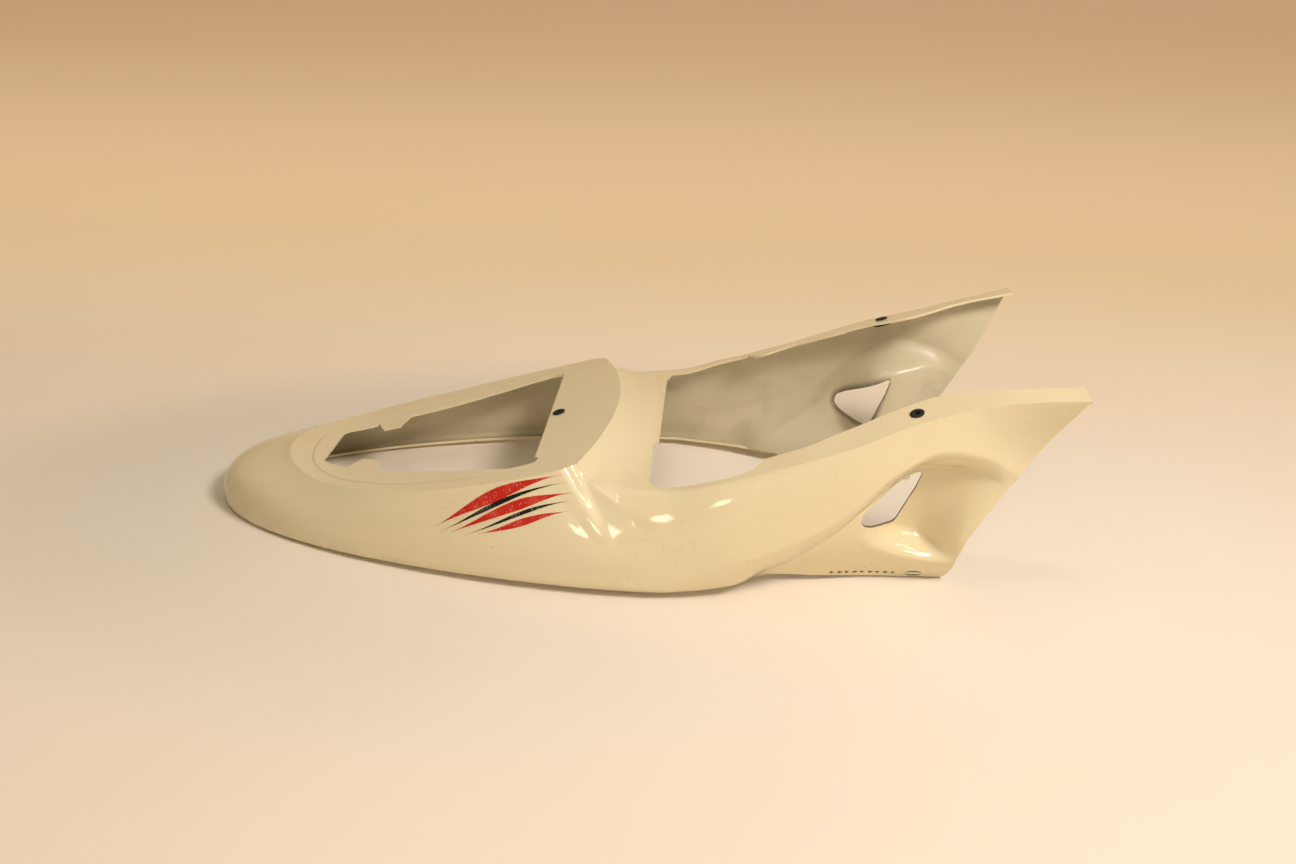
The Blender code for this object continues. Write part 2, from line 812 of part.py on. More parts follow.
def build_grommet(name, centre, normal, rubber):
    """Rubber grommet, turned from its half section and seated in the pad's hole."""
    gap = GROMMET_CLEARANCE
    top = gap + GROMMET_TOP_HEIGHT
    under = -WALL - gap
    low = under - GROMMET_UNDER_HEIGHT
    r = GROMMET_ROUNDING
    section = (
        (GROMMET_BORE, low),
        (GROMMET_UNDER_LIP - r, low),
        (GROMMET_UNDER_LIP, low + r),
        (GROMMET_UNDER_LIP, under),
        (GROMMET_WAIST, under),
        (GROMMET_WAIST, gap),
        (GROMMET_TOP_LIP, gap),
        (GROMMET_TOP_LIP, top - r),
        (GROMMET_TOP_LIP - r, top),
        (GROMMET_BORE, top),
    )
    bm = bmesh.new()
    verts = [bm.verts.new((x, 0.0, z)) for x, z in section]
    edges = [bm.edges.new((a, b)) for a, b in zip(verts, verts[1:] + verts[:1])]
    bmesh.ops.spin(
        bm,
        geom=verts + edges,
        cent=(0.0, 0.0, 0.0),
        axis=(0.0, 0.0, 1.0),
        angle=2 * math.pi,
        steps=GROMMET_SIDES,
    )
    bmesh.ops.remove_doubles(bm, verts=bm.verts, dist=MERGE)
    bmesh.ops.recalc_face_normals(bm, faces=bm.faces)
    grommet = new_object(name, bm, rubber)
    grommet.location = centre
    grommet.rotation_euler = normal.to_track_quat("Z", "Y").to_euler()
    smooth(grommet)


def smooth(obj):
    """Shade smooth, with real edges kept sharp."""
    obj.data.shade_smooth()
    obj.data.set_sharp_from_angle(angle=SMOOTH_ANGLE)


def corner_outline():
    """Outline of what is cut from the leg's lower front corner, in X and Z."""
    reach = 2 * LEG_CORNER_RADIUS
    low_x = leg_front_x(0.0)
    beyond = low_x + reach + CUT_SPARE
    corners = (
        (low_x - reach, -EDGE_SPARE, 0.0),
        (low_x, -EDGE_SPARE, LEG_CORNER_RADIUS),
        (leg_front_x(reach) + EDGE_SPARE, reach, 0.0),
        (beyond, reach, 0.0),
        (beyond, -CUT_SPARE, 0.0),
        (low_x - reach, -CUT_SPARE, 0.0),
    )
    return rounded([(x, z) for x, z, _ in corners], [r for _, _, r in corners])


def build_shell():
    """The moulded shell: mirrored skin, wall and cuts."""
    plastic = material("white_gloss_plastic", (0.80, 0.76, 0.66), 0.22)
    shell = new_object("tail_shell", build_skin(), plastic)
    smooth(shell)
    mirror = shell.modifiers.new("Mirror", "MIRROR")
    mirror.use_axis = (False, True, False)
    mirror.use_clip = True
    mirror.merge_threshold = MERGE
    wall = shell.modifiers.new("Wall", "SOLIDIFY")
    wall.thickness = WALL
    wall.offset = -1.0
    wall.use_even_offset = True
    cut(shell, prism("cut_passenger", passenger_outline(), below_top, above_top))
    cut(shell, prism("cut_rider", rider_outline(), below_top, above_top))
    slit_end = RIDER_TONGUE_X + TONGUE_RADIUS
    slit = (
        (slit_end - SLIT_LENGTH, SLIT_Y),
        (slit_end, SLIT_Y - SLIT_WIDTH),
        (slit_end, SLIT_Y + SLIT_WIDTH),
    )
    cut(shell, prism("cut_slit", slit, below_top, above_top))
    hole = rounded(HOLE_OUTLINE, [HOLE_ROUNDING] * len(HOLE_OUTLINE))
    for side in (-1, 1):
        low, high = sorted((side * LEG_CUT_INNER_Y, side * LEG_CUT_OUTER_Y))
        cut(shell, prism("cut_scoop", hole, low, high, "Y"))
        cut(shell, prism("cut_corner", corner_outline(), low, high, "Y"))
    for name, centre, normal in grommet_frames():
        radius = GROMMET_WAIST + GROMMET_CLEARANCE
        cut(shell, round_cutter("cut_" + name, centre, normal, radius))


def main():
    """Clear the scene and model the fairing."""
    for obj in list(bpy.data.objects):
        bpy.data.objects.remove(obj, do_unlink=True)
    build_shell()
    rubber = material("black_rubber", (0.012, 0.012, 0.013), 0.6)
    for name, centre, normal in grommet_frames():
        build_grommet(name, centre, normal, rubber)


main()
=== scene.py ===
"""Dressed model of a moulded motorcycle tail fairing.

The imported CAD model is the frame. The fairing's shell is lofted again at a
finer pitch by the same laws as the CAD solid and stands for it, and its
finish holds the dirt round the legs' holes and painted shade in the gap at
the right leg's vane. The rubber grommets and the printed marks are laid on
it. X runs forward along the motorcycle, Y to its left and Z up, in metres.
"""

from __future__ import annotations

import json
import logging
import math
from dataclasses import dataclass
from enum import Enum
from typing import Any, Callable, Iterable, Sequence

import bmesh
import bpy
from mathutils import Matrix, Vector
from mathutils.bvhtree import BVHTree

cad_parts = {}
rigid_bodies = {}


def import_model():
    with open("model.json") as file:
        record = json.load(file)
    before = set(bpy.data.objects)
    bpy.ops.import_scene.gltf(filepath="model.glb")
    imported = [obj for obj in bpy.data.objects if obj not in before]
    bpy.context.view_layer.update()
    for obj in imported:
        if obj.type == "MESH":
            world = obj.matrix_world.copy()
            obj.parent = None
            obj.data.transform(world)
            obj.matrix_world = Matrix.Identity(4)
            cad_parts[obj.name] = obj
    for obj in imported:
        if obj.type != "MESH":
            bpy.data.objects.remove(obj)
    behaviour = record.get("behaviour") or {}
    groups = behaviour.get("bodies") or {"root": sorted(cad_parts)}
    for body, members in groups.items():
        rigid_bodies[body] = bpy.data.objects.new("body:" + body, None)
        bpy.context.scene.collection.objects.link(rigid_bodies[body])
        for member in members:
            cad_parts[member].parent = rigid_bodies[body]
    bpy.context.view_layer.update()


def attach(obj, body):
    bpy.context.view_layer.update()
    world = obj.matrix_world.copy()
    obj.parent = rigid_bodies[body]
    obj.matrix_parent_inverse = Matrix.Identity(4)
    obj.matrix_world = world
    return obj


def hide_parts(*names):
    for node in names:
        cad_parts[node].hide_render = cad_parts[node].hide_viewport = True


LOG = logging.getLogger("tail_fairing")
BODY = "root"
MERGE = 0.00002
TINY = 1e-6
CORNER_ROOM = 0.48

Point2 = tuple[float, float]
Point3 = tuple[float, float, float]
Colour = tuple[float, float, float]


def lerp(a: float, b: float, t: float) -> float:
    """Blend two numbers."""
    return a + (b - a) * t


def ease(t: float) -> float:
    """Rise smoothly from 0 to 1, with level ends."""
    t = min(max(t, 0.0), 1.0)
    return t * t * (3.0 - 2.0 * t)


def eased(x: float, start: float, end: float) -> float:
    """Rise smoothly from 0 at the start to 1 at the end."""
    return ease((x - start) / (end - start))


def leap(t: float) -> float:
    """Rise from 0 to 1 with a kink at the start and a level end."""
    t = min(max(t, 0.0), 1.0)
    return 1.0 - (1.0 - t) ** 2


def ramp(t: float, start: float, end: float) -> float:
    """Rise from 0 to 1 in a straight line whose ends are rounded.

    Args:
        t: Place on the ramp.
        start: Share of it that is rounded at its foot.
        end: Share that is rounded at its head.

    Returns:
        The height.
    """
    t = min(max(t, 0.0), 1.0)
    slope = 1.0 / (1.0 - (start + end) / 2.0)
    if t < start:
        return slope * t * t / (2.0 * start)
    if t > 1.0 - end:
        return 1.0 - slope * (1.0 - t) ** 2 / (2.0 * end)
    return slope * (t - start / 2.0)


@dataclass(frozen=True)
class Curve:
    """Smooth curve through (x, value) knots that never overshoots them."""

    knots: tuple[Point2, ...]

    def _tangent(self, i: int) -> float:
        """Slope of the curve at one knot."""
        knots = self.knots
        if i in (0, len(knots) - 1):
            j = 0 if i == 0 else i - 1
            return (knots[j + 1][1] - knots[j][1]) / (knots[j + 1][0] - knots[j][0])
        before = (knots[i][1] - knots[i - 1][1]) / (knots[i][0] - knots[i - 1][0])
        after = (knots[i + 1][1] - knots[i][1]) / (knots[i + 1][0] - knots[i][0])
        if before * after <= 0.0:
            return 0.0
        return 2.0 * before * after / (before + after)

    def at(self, x: float) -> float:
        """Value of the curve.

        Args:
            x: Where to read it; beyond the ends it keeps the end value.

        Returns:
            The value at x.
        """
        knots = self.knots
        if x <= knots[0][0]:
            return knots[0][1]
        if x >= knots[-1][0]:
            return knots[-1][1]
        i = 0
        while knots[i + 1][0] < x:
            i += 1
        (x0, y0), (x1, y1) = knots[i], knots[i + 1]
        h = x1 - x0
        t = (x - x0) / h
        rise = self._tangent(i) * h
        arrive = self._tangent(i + 1) * h
        start = (2 * t**3 - 3 * t**2 + 1) * y0 + (t**3 - 2 * t**2 + t) * rise
        return start + (-2 * t**3 + 3 * t**2) * y1 + (t**3 - t**2) * arrive


def metres(*rows: tuple[float, ...]) -> tuple[tuple[float, ...], ...]:
    """Rows of numbers given in millimetres, in metres."""
    return tuple(tuple(value / 1000 for value in row) for row in rows)


def mm(*knots: Point2) -> Curve:
    """Curve whose knots are given in millimetres."""
    return Curve(metres(*knots))


class Side(Enum):
    """A side of the motorcycle; its value is the sign of Y there."""

    RIGHT = -1.0
    LEFT = 1.0


# Helpers for meshes


def mesh_object(name: str, mesh: bpy.types.Mesh) -> bpy.types.Object:
    """Object at the origin for a mesh that is in place, linked to the scene."""
    obj = bpy.data.objects.new(name, mesh)
    bpy.context.scene.collection.objects.link(obj)
    return obj


def from_bmesh(name: str, bm: bmesh.types.BMesh) -> bpy.types.Object:
    """Object at the origin for a bmesh that is in place, which is freed."""
    mesh = bpy.data.meshes.new(name)
    bm.to_mesh(mesh)
    bm.free()
    return mesh_object(name, mesh)


def freeze(obj: bpy.types.Object) -> None:
    """Turn an object's modifiers into plain mesh.

    Args:
        obj: The object; it ends with no modifiers.
    """
    graph = bpy.context.evaluated_depsgraph_get()
    graph.update()
    mesh = bpy.data.meshes.new_from_object(obj.evaluated_get(graph), depsgraph=graph)
    obj.modifiers.clear()
    old = obj.data
    obj.data = mesh
    mesh.name = obj.name
    bpy.data.meshes.remove(old)


def shade(obj: bpy.types.Object, angle: float = 40.0) -> None:
    """Shade smooth, with edges past an angle in degrees kept sharp."""
    obj.data.shade_smooth()
    obj.data.set_sharp_from_angle(angle=math.radians(angle))


def seat(obj: bpy.types.Object) -> None:
    """Make a piece ride on the fairing's body."""
    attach(obj, BODY)


def rounded(corners: Sequence[Point3], sides: int) -> list[Point2]:
    """Outline whose corners are rounded.

    Args:
        corners: Each corner's two coordinates and its radius.
        sides: Steps of each rounded corner.

    Returns:
        The outline's points.
    """
    outline: list[Point2] = []
    count = len(corners)
    for i, (u, v, radius) in enumerate(corners):
        corner = Vector((u, v))
        if radius <= 0.0:
            outline.append((u, v))
            continue
        back = Vector(corners[i - 1][:2]) - corner
        ahead = Vector(corners[(i + 1) % count][:2]) - corner
        reach = radius / math.tan(back.angle(ahead) / 2)
        reach = min(reach, CORNER_ROOM * min(back.length, ahead.length))
        start = corner + back.normalized() * reach
        end = corner + ahead.normalized() * reach
        for k in range(sides + 1):
            t = k / sides
            outline.append(tuple(start * (1 - t) ** 2 + corner * 2 * t * (1 - t) + end * t * t))
    return outline


# Shader maths


def maths(operation: str, swapped: bool = False) -> Callable[[Value, Any], Value]:
    """Operator of a Value.

    Args:
        operation: What its Math node does.
        swapped: Whether the other number comes first.

    Returns:
        The operator.
    """

    def operate(value: Value, other: Any) -> Value:
        """Join two values with a Math node."""
        pair = (other, value) if swapped else (value, other)
        graph = value.graph
        node = graph.node("ShaderNodeMath", {"operation": operation}, dict(enumerate(pair)))
        return Value(graph, node.outputs[0])

    return operate


class Value:
    """A socket of a material that takes part in Python expressions."""

    __add__ = __radd__ = maths("ADD")
    __sub__, __rsub__ = maths("SUBTRACT"), maths("SUBTRACT", True)
    __mul__ = __rmul__ = maths("MULTIPLY")
    __truediv__ = maths("DIVIDE")
    __pow__ = maths("POWER")

    def __init__(self, graph: Graph, socket: bpy.types.NodeSocket) -> None:
        """Wrap a socket of a graph."""
        self.graph = graph
        self.socket = socket

    def size(self) -> Value:
        """The value without its sign."""
        return maths("ABSOLUTE")(self, 0.0)

    def above(self, low: float, high: float) -> Value:
        """Mask that rises smoothly from 0 at low to 1 at high.

        Args:
            low: Where the mask is 0.
            high: Where the mask is 1; it may be the lower of the two.

        Returns:
            The mask.
        """
        if low > high:
            return 1.0 - self.above(high, low)
        node = self.graph.node(
            "ShaderNodeMapRange",
            {"interpolation_type": "SMOOTHSTEP"},
            {"Value": self, "From Min": low, "From Max": high},
        )
        return Value(self.graph, node.outputs[0])


class Tree:
    """A node tree whose nodes are added with their settings and inputs."""

    tree: bpy.types.NodeTree

    def node(
        self,
        kind: str,
        settings: dict[str, Any] | None = None,
        inputs: dict[int | str, Any] | None = None,
    ) -> bpy.types.Node:
        """Add a node.

        Args:
            kind: The node's type.
            settings: Its properties, set before its sockets.
            inputs: What feed gives to its inputs, by number or name.

        Returns:
            The node.
        """
        node = self.tree.nodes.new(kind)
        for key, value in (settings or {}).items():
            setattr(node, key, value)
        for key, value in (inputs or {}).items():
            self.feed(node.inputs[key], value)
        return node

    def feed(self, socket: bpy.types.NodeSocket, value: Any) -> None:
        """Link or set an input.

        Args:
            socket: The input.
            value: A Value, a socket, a number or a tuple.
        """
        if isinstance(value, Value):
            value = value.socket
        if isinstance(value, bpy.types.NodeSocket):
            self.tree.links.new(value, socket)
        else:
            socket.default_value = value


class Graph(Tree):
    """Node tree of one material, built from Python expressions."""

    def __init__(self, name: str) -> None:
        """Start a material with a Principled shader."""
        self.material = bpy.data.materials.new(name)
        self.material.use_nodes = True
        self.tree = self.material.node_tree
        self.shader = self.tree.nodes["Principled BSDF"]
        self.place = self.node("ShaderNodeTexCoord").outputs["Object"]

    def axes(self) -> tuple[Value, Value, Value]:
        """The place on the object as three values."""
        split = self.node("ShaderNodeSeparateXYZ", None, {0: self.place})
        return tuple(Value(self, socket) for socket in split.outputs)

    def stretched(self, scale: Point3) -> bpy.types.NodeSocket:
        """The place on the object, stretched by a factor along each axis."""
        node = self.node("ShaderNodeMapping", None, {"Vector": self.place, "Scale": scale})
        return node.outputs[0]

    def noise(self, scale: float, detail: float = 2.0, place: Any = None) -> Value:
        """Noise between 0 and 1.

        Args:
            scale: Features for each metre.
            detail: Finer layers that are added.
            place: Where it is read, by default on the object.

        Returns:
            The noise.
        """
        inputs = {"Vector": place or self.place, "Scale": scale, "Detail": detail}
        return Value(self, self.node("ShaderNodeTexNoise", None, inputs).outputs[0])

    def cells(self, scale: float) -> tuple[Value, Value]:
        """Distance to the nearest scattered point, in cells, and that point's random number."""
        node = self.node("ShaderNodeTexVoronoi", None, {"Vector": self.place, "Scale": scale})
        split = self.node("ShaderNodeSeparateColor", None, {0: node.outputs["Color"]})
        return Value(self, node.outputs["Distance"]), Value(self, split.outputs[0])

    def attribute(self, name: str) -> Value:
        """A number that the mesh carries."""
        node = self.node("ShaderNodeAttribute", {"attribute_name": name})
        return Value(self, node.outputs["Fac"])

    def mix(self, factor: Any, a: Any, b: Any) -> Value:
        """Colour between two colours.

        Args:
            factor: Share of the second.
            a: First colour.
            b: Second colour.

        Returns:
            The mixed colour.
        """
        node = self.node("ShaderNodeMix", {"data_type": "RGBA"})
        self.feed(node.inputs[0], factor)
        for socket, colour in ((node.inputs[6], a), (node.inputs[7], b)):
            self.feed(socket, (*colour, 1.0) if isinstance(colour, tuple) else colour)
        return Value(self, node.outputs[2])

    def bump(self, height: Value, distance: float) -> None:
        """Raise the surface by a height from 0 to 1, which stands for a distance."""
        inputs = {"Height": height, "Distance": distance, "Strength": 1.0}
        node = self.node("ShaderNodeBump", None, inputs)
        self.feed(self.shader.inputs["Normal"], node.outputs[0])

    def painted_glow(self, share: Value, colour: bpy.types.NodeSocket) -> None:
        """Painted light: let a share of the surface glow with a plain colour, seen by the camera
        and in reflections.

        Args:
            share: The share, from 0 to 1.
            colour: The colour.
        """
        path = self.node("ShaderNodeLightPath").outputs
        seen = Value(self, path["Is Camera Ray"]) + Value(self, path["Is Glossy Ray"])
        light = self.node("ShaderNodeEmission", None, {"Color": colour})
        shaders = {0: share * seen, 1: self.shader.outputs[0], 2: light.outputs[0]}
        both = self.node("ShaderNodeMixShader", None, shaders)
        output = next(n for n in self.tree.nodes if n.type == "OUTPUT_MATERIAL")
        self.feed(output.inputs["Surface"], both.outputs[0])

    def set(self, **values: Any) -> None:
        """Set or link inputs of the shader, named with _ for each space."""
        for key, value in values.items():
            socket = self.shader.inputs[key.replace("_", " ").title()]
            self.feed(socket, (*value, 1.0) if isinstance(value, tuple) else value)


# Finishes


@dataclass(frozen=True)
class Patches:
    """Noise that is cut off softly, so that it leaves patches.

    Attributes:
        scale: Features for each metre.
        detail: Finer layers that are added.
        low: Noise at which a patch starts.
        high: Noise at which it is full.
        stretch: Factors along the axes, if the noise is stretched.
    """

    scale: float
    detail: float
    low: float
    high: float
    stretch: Point3 | None = None

    def on(self, g: Graph) -> Value:
        """Mask of the patches in a material."""
        place = g.stretched(self.stretch) if self.stretch else None
        return g.noise(self.scale, self.detail, place).above(self.low, self.high)


@dataclass(frozen=True)
class Specks:
    """Round specks of one size, scattered at random.

    Attributes:
        scale: Cells for each metre, of which some hold a speck.
        rim: Distances, in cells, at which a speck has ended and at which it is full.
        chance: Random numbers between which a cell comes to hold a speck.
    """

    scale: float
    rim: Point2
    chance: Point2

    def on(self, g: Graph) -> Value:
        """Mask of the specks in a material."""
        far, lot = g.cells(self.scale)
        return far.above(*self.rim) * lot.above(*self.chance)


@dataclass(frozen=True)
class IvoryPlastic:
    """Gloss ivory plastic, rubbed on the deck and dull and dirty inside, with painted shade on the
    cut edge in the gap at the right leg's vane.

    A pair of heights, widths or places runs from where a mask is 0 to where it
    is 1. A pair of shares holds the share outside and what is added inside.
    """

    ivory: Colour = (0.80, 0.700, 0.470)
    cream: Colour = (0.79, 0.675, 0.425)
    inner: Colour = (0.62, 0.555, 0.39)
    stain: Colour = (0.40, 0.34, 0.22)
    dirt_and_shade: Colour = (0.10, 0.075, 0.045)
    line: Colour = (0.48, 0.40, 0.27)
    gloss: float = 0.08
    rubbed: float = 0.33
    dull: float = 0.30

    pad_centre_x: float = -0.050
    pad_length: float = 0.214
    pad_width: float = 0.104
    pad_power: float = 2.3
    pad_rim: Point2 = (1.01, 0.97)
    mark_x: Point2 = (-0.075, -0.125)
    mark_y: Point2 = (0.040, -0.010)
    mark_width: Point2 = (0.016, 0.006)
    mark_wander: float = 0.03
    mark_share: float = 0.55

    cloud: Patches = Patches(7.0, 3.0, 0.38, 0.66)
    cloud_share: float = 0.7
    blotch: Patches = Patches(34.0, 5.0, 0.52, 0.70)
    smear: Patches = Patches(9.0, 4.0, 0.50, 0.68, (1.0, 1.0, 2.4))
    stain_share: float = 0.22
    scratched: Patches = Patches(14.0, 2.0, 0.50, 0.62)
    scratch_run: Point3 = (2.0, 26.0, 9.0)
    scratch_width: Point2 = (0.007, 0.002)
    scratch_share: float = 0.30
    worn: Patches = Patches(120.0, 4.0, 0.42, 0.68)
    worn_height: Point2 = (0.016, 0.002)
    worn_share: float = 0.12
    speck: Specks = Specks(62.0, (0.050, 0.034), (0.80, 0.81))
    speck_shares: Point2 = (0.55, 0.35)
    fleck: Specks = Specks(190.0, (0.10, 0.05), (0.90, 0.92))
    fleck_shares: Point2 = (0.16, 0.3)
    grime_and_shade_patch: Patches = Patches(180.0, 5.0, 0.12, 0.44)
    grime_and_shade_share: float = 0.85
    low_height: Point2 = (0.030, 0.006)
    low_share: float = 0.55
    grain_scale: float = 420.0
    grain_shares: Point2 = (0.25, 0.75)
    relief: float = 0.00003

    def make(self) -> bpy.types.Material:
        """Build the material."""
        g = Graph("ivory_plastic")
        x, y, z = g.axes()
        inside = g.attribute("inner")
        outside = 1.0 - inside

        run = ((x - self.pad_centre_x) / self.pad_length).size() ** self.pad_power
        span = (y / self.pad_width).size() ** self.pad_power
        ring = run + span
        on_deck = g.attribute("deck") * outside
        wander = g.noise(22.0) * self.mark_wander - self.mark_wander / 2
        near = x.above(*self.mark_x) * y.above(*self.mark_y)
        mark = (ring + wander - 1.0).size().above(*self.mark_width) * on_deck * near
        rubbed = ring.above(*self.pad_rim) * on_deck

        blotch = self.blotch.on(g)
        streak = g.noise(11.0, 6.0, g.stretched(self.scratch_run))
        scratch = (streak - 0.5).size().above(*self.scratch_width) * self.scratched.on(g)
        worn = z.above(*self.worn_height) * self.worn.on(g)
        # Dirt round the leg holes, with painted shade on the cut edge in the gap at the right vane.
        grime_and_shade_patch = g.attribute("grime_and_shade") * inside * self.grime_and_shade_patch.on(g)
        bits = self.speck.on(g) * self.by_side(inside, self.speck_shares)
        bits = bits + self.fleck.on(g) * self.by_side(inside, self.fleck_shares)

        clean = g.mix(self.cloud.on(g) * self.cloud_share, self.ivory, self.cream)
        tired = scratch * self.scratch_share + worn * self.worn_share
        clean = g.mix(tired, clean, self.stain)
        clean = g.mix(mark * self.mark_share, clean, self.line)
        soiled = g.mix((blotch + self.smear.on(g)) * self.stain_share, self.inner, self.stain)
        colour = g.mix(bits, g.mix(inside, clean, soiled), self.dirt_and_shade)
        colour = g.mix(grime_and_shade_patch * self.grime_and_shade_share, colour, self.dirt_and_shade)
        # Inside, the colour darkens towards the bottom.
        low = z.above(*self.low_height) * inside
        colour = g.mix(low * self.low_share, colour, self.stain)

        bare = self.gloss + rubbed * (self.rubbed - self.gloss) + scratch * 0.14
        bare = bare + g.noise(60.0, 4.0) * 0.03 + worn * 0.2
        rough = bare * outside + (self.dull + blotch * 0.16) * inside + grime_and_shade_patch * 0.3
        grain = g.noise(self.grain_scale) * self.by_side(inside, self.grain_shares)
        g.bump(grain + scratch * -0.6 + mark * -1.2, self.relief)
        g.set(base_color=colour, roughness=rough, metallic=0.0)
        return g.material

    @staticmethod
    def by_side(inside: Value, shares: Point2) -> Value:
        """Share that is greater on the inside of the shell."""
        return shares[0] + inside * shares[1]


@dataclass(frozen=True)
class GrommetRubber:
    """Matt black rubber with a faint bloom and moulding grain."""

    black: Colour = (0.006, 0.006, 0.006)
    bloom: Colour = (0.022, 0.021, 0.020)
    bloom_share: float = 0.7
    dust: Patches = Patches(420.0, 5.0, 0.50, 0.72)
    grain_scale: float = 2600.0
    relief: float = 0.00004

    def make(self) -> bpy.types.Material:
        """Build the material."""
        g = Graph("grommet_rubber")
        dust = self.dust.on(g)
        grain = g.noise(self.grain_scale, 3.0)
        g.set(base_color=g.mix(dust * self.bloom_share, self.black, self.bloom))
        g.set(roughness=0.62 + dust * 0.20 + grain * 0.08, metallic=0.0)
        g.bump(grain, self.relief)
        return g.material


@dataclass(frozen=True)
class StickerInk:
    """Printed vinyl that has dulled and lost specks of its ink."""

    name: str
    ink: Colour
    faded: Colour
    bare: Colour = (0.74, 0.66, 0.47)
    fade: Patches = Patches(75.0, 4.0, 0.42, 0.72)
    fade_share: float = 0.55
    chip: Specks = Specks(900.0, (0.34, 0.22), (0.80, 0.82))
    chip_share: float = 0.8
    relief: float = 0.00002

    def make(self) -> bpy.types.Material:
        """Build the material."""
        g = Graph(self.name)
        fade = self.fade.on(g)
        chip = self.chip.on(g)
        colour = g.mix(fade * self.fade_share, self.ink, self.faded)
        g.set(base_color=g.mix(chip * self.chip_share, colour, self.bare))
        g.set(roughness=0.20 + fade * 0.12 + chip * 0.2, metallic=0.0)
        g.bump(g.noise(700.0, 3.0), self.relief)
        return g.material


@dataclass(frozen=True)
class PaperSweep:
    """Matt warm paper of the floor and the backdrop, with painted light: it glows more towards the
    backdrop, in a colour that darkens towards the back and up the backdrop, but not round the
    fairing, where its shadows fall.
    """

    paper: Colour = (0.88, 0.81, 0.70)
    shade: Colour = (0.86, 0.785, 0.67)
    near_painted_glow: Colour = (1.0, 0.73, 0.47)
    far_painted_glow: Colour = (0.80, 0.535, 0.28)
    high_painted_glow: Colour = (0.56, 0.335, 0.17)
    shadow_half: Point2 = (0.42, 0.24)
    least_painted_glow: float = 0.28
    most_painted_glow: float = 0.85
    painted_glow_depth: Point2 = (-0.10, 1.00)
    painted_glow_height: Point2 = (0.0, 0.35)
    shadow_rim: Point2 = (0.9, 2.6)
    cloud: Patches = Patches(2.2, 3.0, 0.35, 0.68)
    relief: float = 0.00005

    def make(self) -> bpy.types.Material:
        """Build the material."""
        g = Graph("paper_sweep")
        colour = g.mix(self.cloud.on(g), self.paper, self.shade)
        g.set(base_color=colour, roughness=0.85, metallic=0.0)
        x, y, z = g.axes()
        # Painted light: the paper glows more towards the back and in a darker colour up the
        # backdrop, but not round the fairing, so that its shadows stay.
        depth = y.above(*self.painted_glow_depth)
        long, wide = self.shadow_half
        round_object = (x / long).size() ** 2.0 + (y / wide).size() ** 2.0
        clear = round_object.above(*self.shadow_rim)
        painted_glow = g.mix(z.above(*self.painted_glow_height), self.far_painted_glow, self.high_painted_glow)
        painted_glow = g.mix(depth, self.near_painted_glow, painted_glow)
        g.painted_glow((depth * (self.most_painted_glow - self.least_painted_glow) + self.least_painted_glow) * clear, painted_glow)
        g.bump(g.noise(900.0, 3.0), self.relief)
        return g.material


# The shell's skin


@dataclass
class Section:
    """One section of the right half, from its top edge by its flank to its foot.

    Attributes:
        start: The top edge.
        flank: The furthest point of the side.
        foot: The bottom edge.
        outward: Level direction that the section faces.
        top_slope: Slope below level where the skin leaves the top edge, in radians.
        foot_slope: Slope where it reaches the foot, in radians.
        lip: Width of the lip under the foot.
        grips: Share of the chord that each end's tangent reaches.
        lip_rise: How far the lip's inner edge lies above the foot.
        deck: Point of the deck's edge that the section hangs from, if it does.
        ahead: Distance of the section in front of the deck's corner.
        shoulder_grip: Share for the tangent at the top edge, if it isn't the grips' own.
        corner_slope: Slope where the skin leaves the deck's edge, in radians.
        crease_width: Distance ahead at which the top edge has left the deck's edge.
        crease_fade: Distance ahead at which the flank no longer follows it.
        kink_fade: How many times sooner than the flank's the kink at the corner ends.
    """

    start: Vector
    flank: Vector
    foot: Vector
    outward: Vector
    top_slope: float
    foot_slope: float
    lip: float
    grips: Point2
    lip_rise: float
    deck: Vector | None = None
    ahead: float = 0.0
    shoulder_grip: float = 0.0
    corner_slope: float = math.radians(60.0)
    crease_width: float = 0.014
    crease_fade: float = 0.110
    kink_fade: float = 1.6

    @property
    def top(self) -> Vector:
        """The top edge, on the deck where there is one."""
        return self.upper(0.0)

    def _piece(
        self, start: Vector, end: Vector, slopes: Point2, grips: Point2, t: float
    ) -> Vector:
        """Point of the cubic between two of the section's corners.

        Args:
            start: The upper corner.
            end: The lower corner.
            slopes: Slope below level at each of them.
            grips: Share of the chord that each end's tangent reaches.
            t: Share of the way.

        Returns:
            The point.
        """
        leave, arrive = slopes
        step = end - start
        reach = step.dot(self.outward)
        drop = -step.z
        chord = math.hypot(reach, drop)
        first, last = (grip * chord for grip in grips)
        ups = (0.0, first * math.cos(leave), reach - last * math.cos(arrive), reach)
        downs = (0.0, first * math.sin(leave), drop - last * math.sin(arrive), drop)
        s = 1.0 - t
        weights = (s**3, 3 * s * s * t, 3 * s * t * t, t**3)
        out = sum(w * v for w, v in zip(weights, ups))
        down = sum(w * v for w, v in zip(weights, downs))
        share = down / drop if abs(drop) > TINY else t
        along = Vector((step.x, step.y, 0.0)) - self.outward * reach
        point = start + self.outward * out + along * share
        point.z = start.z - down
        return point

    def upper(self, t: float) -> Vector:
        """Point between the top edge, at 0, and the flank, at 1."""
        grips = (self.shoulder_grip or self.grips[0], self.grips[1])
        own = self._piece(self.start, self.flank, (self.top_slope, math.pi / 2), grips, t)
        if self.deck is None:
            return own
        hung = self._piece(self.deck, self.flank, (self.corner_slope, math.pi / 2), self.grips, t)
        share = self.ahead / lerp(self.crease_width, self.crease_fade, t)
        return hung.lerp(own, lerp(leap(share), ease(share), ease(t * self.kink_fade)))

    def lower(self, t: float) -> Vector:
        """Point between the flank, at 0, and the foot, at 1."""
        return self._piece(self.flank, self.foot, (math.pi / 2, self.foot_slope), self.grips, t)

    def rim(self, t: float) -> Vector:
        """Point of the lip, from the foot inward."""
        point = self.foot - self.outward * self.lip * t
        point.z = self.foot.z + self.lip_rise * t
        return point


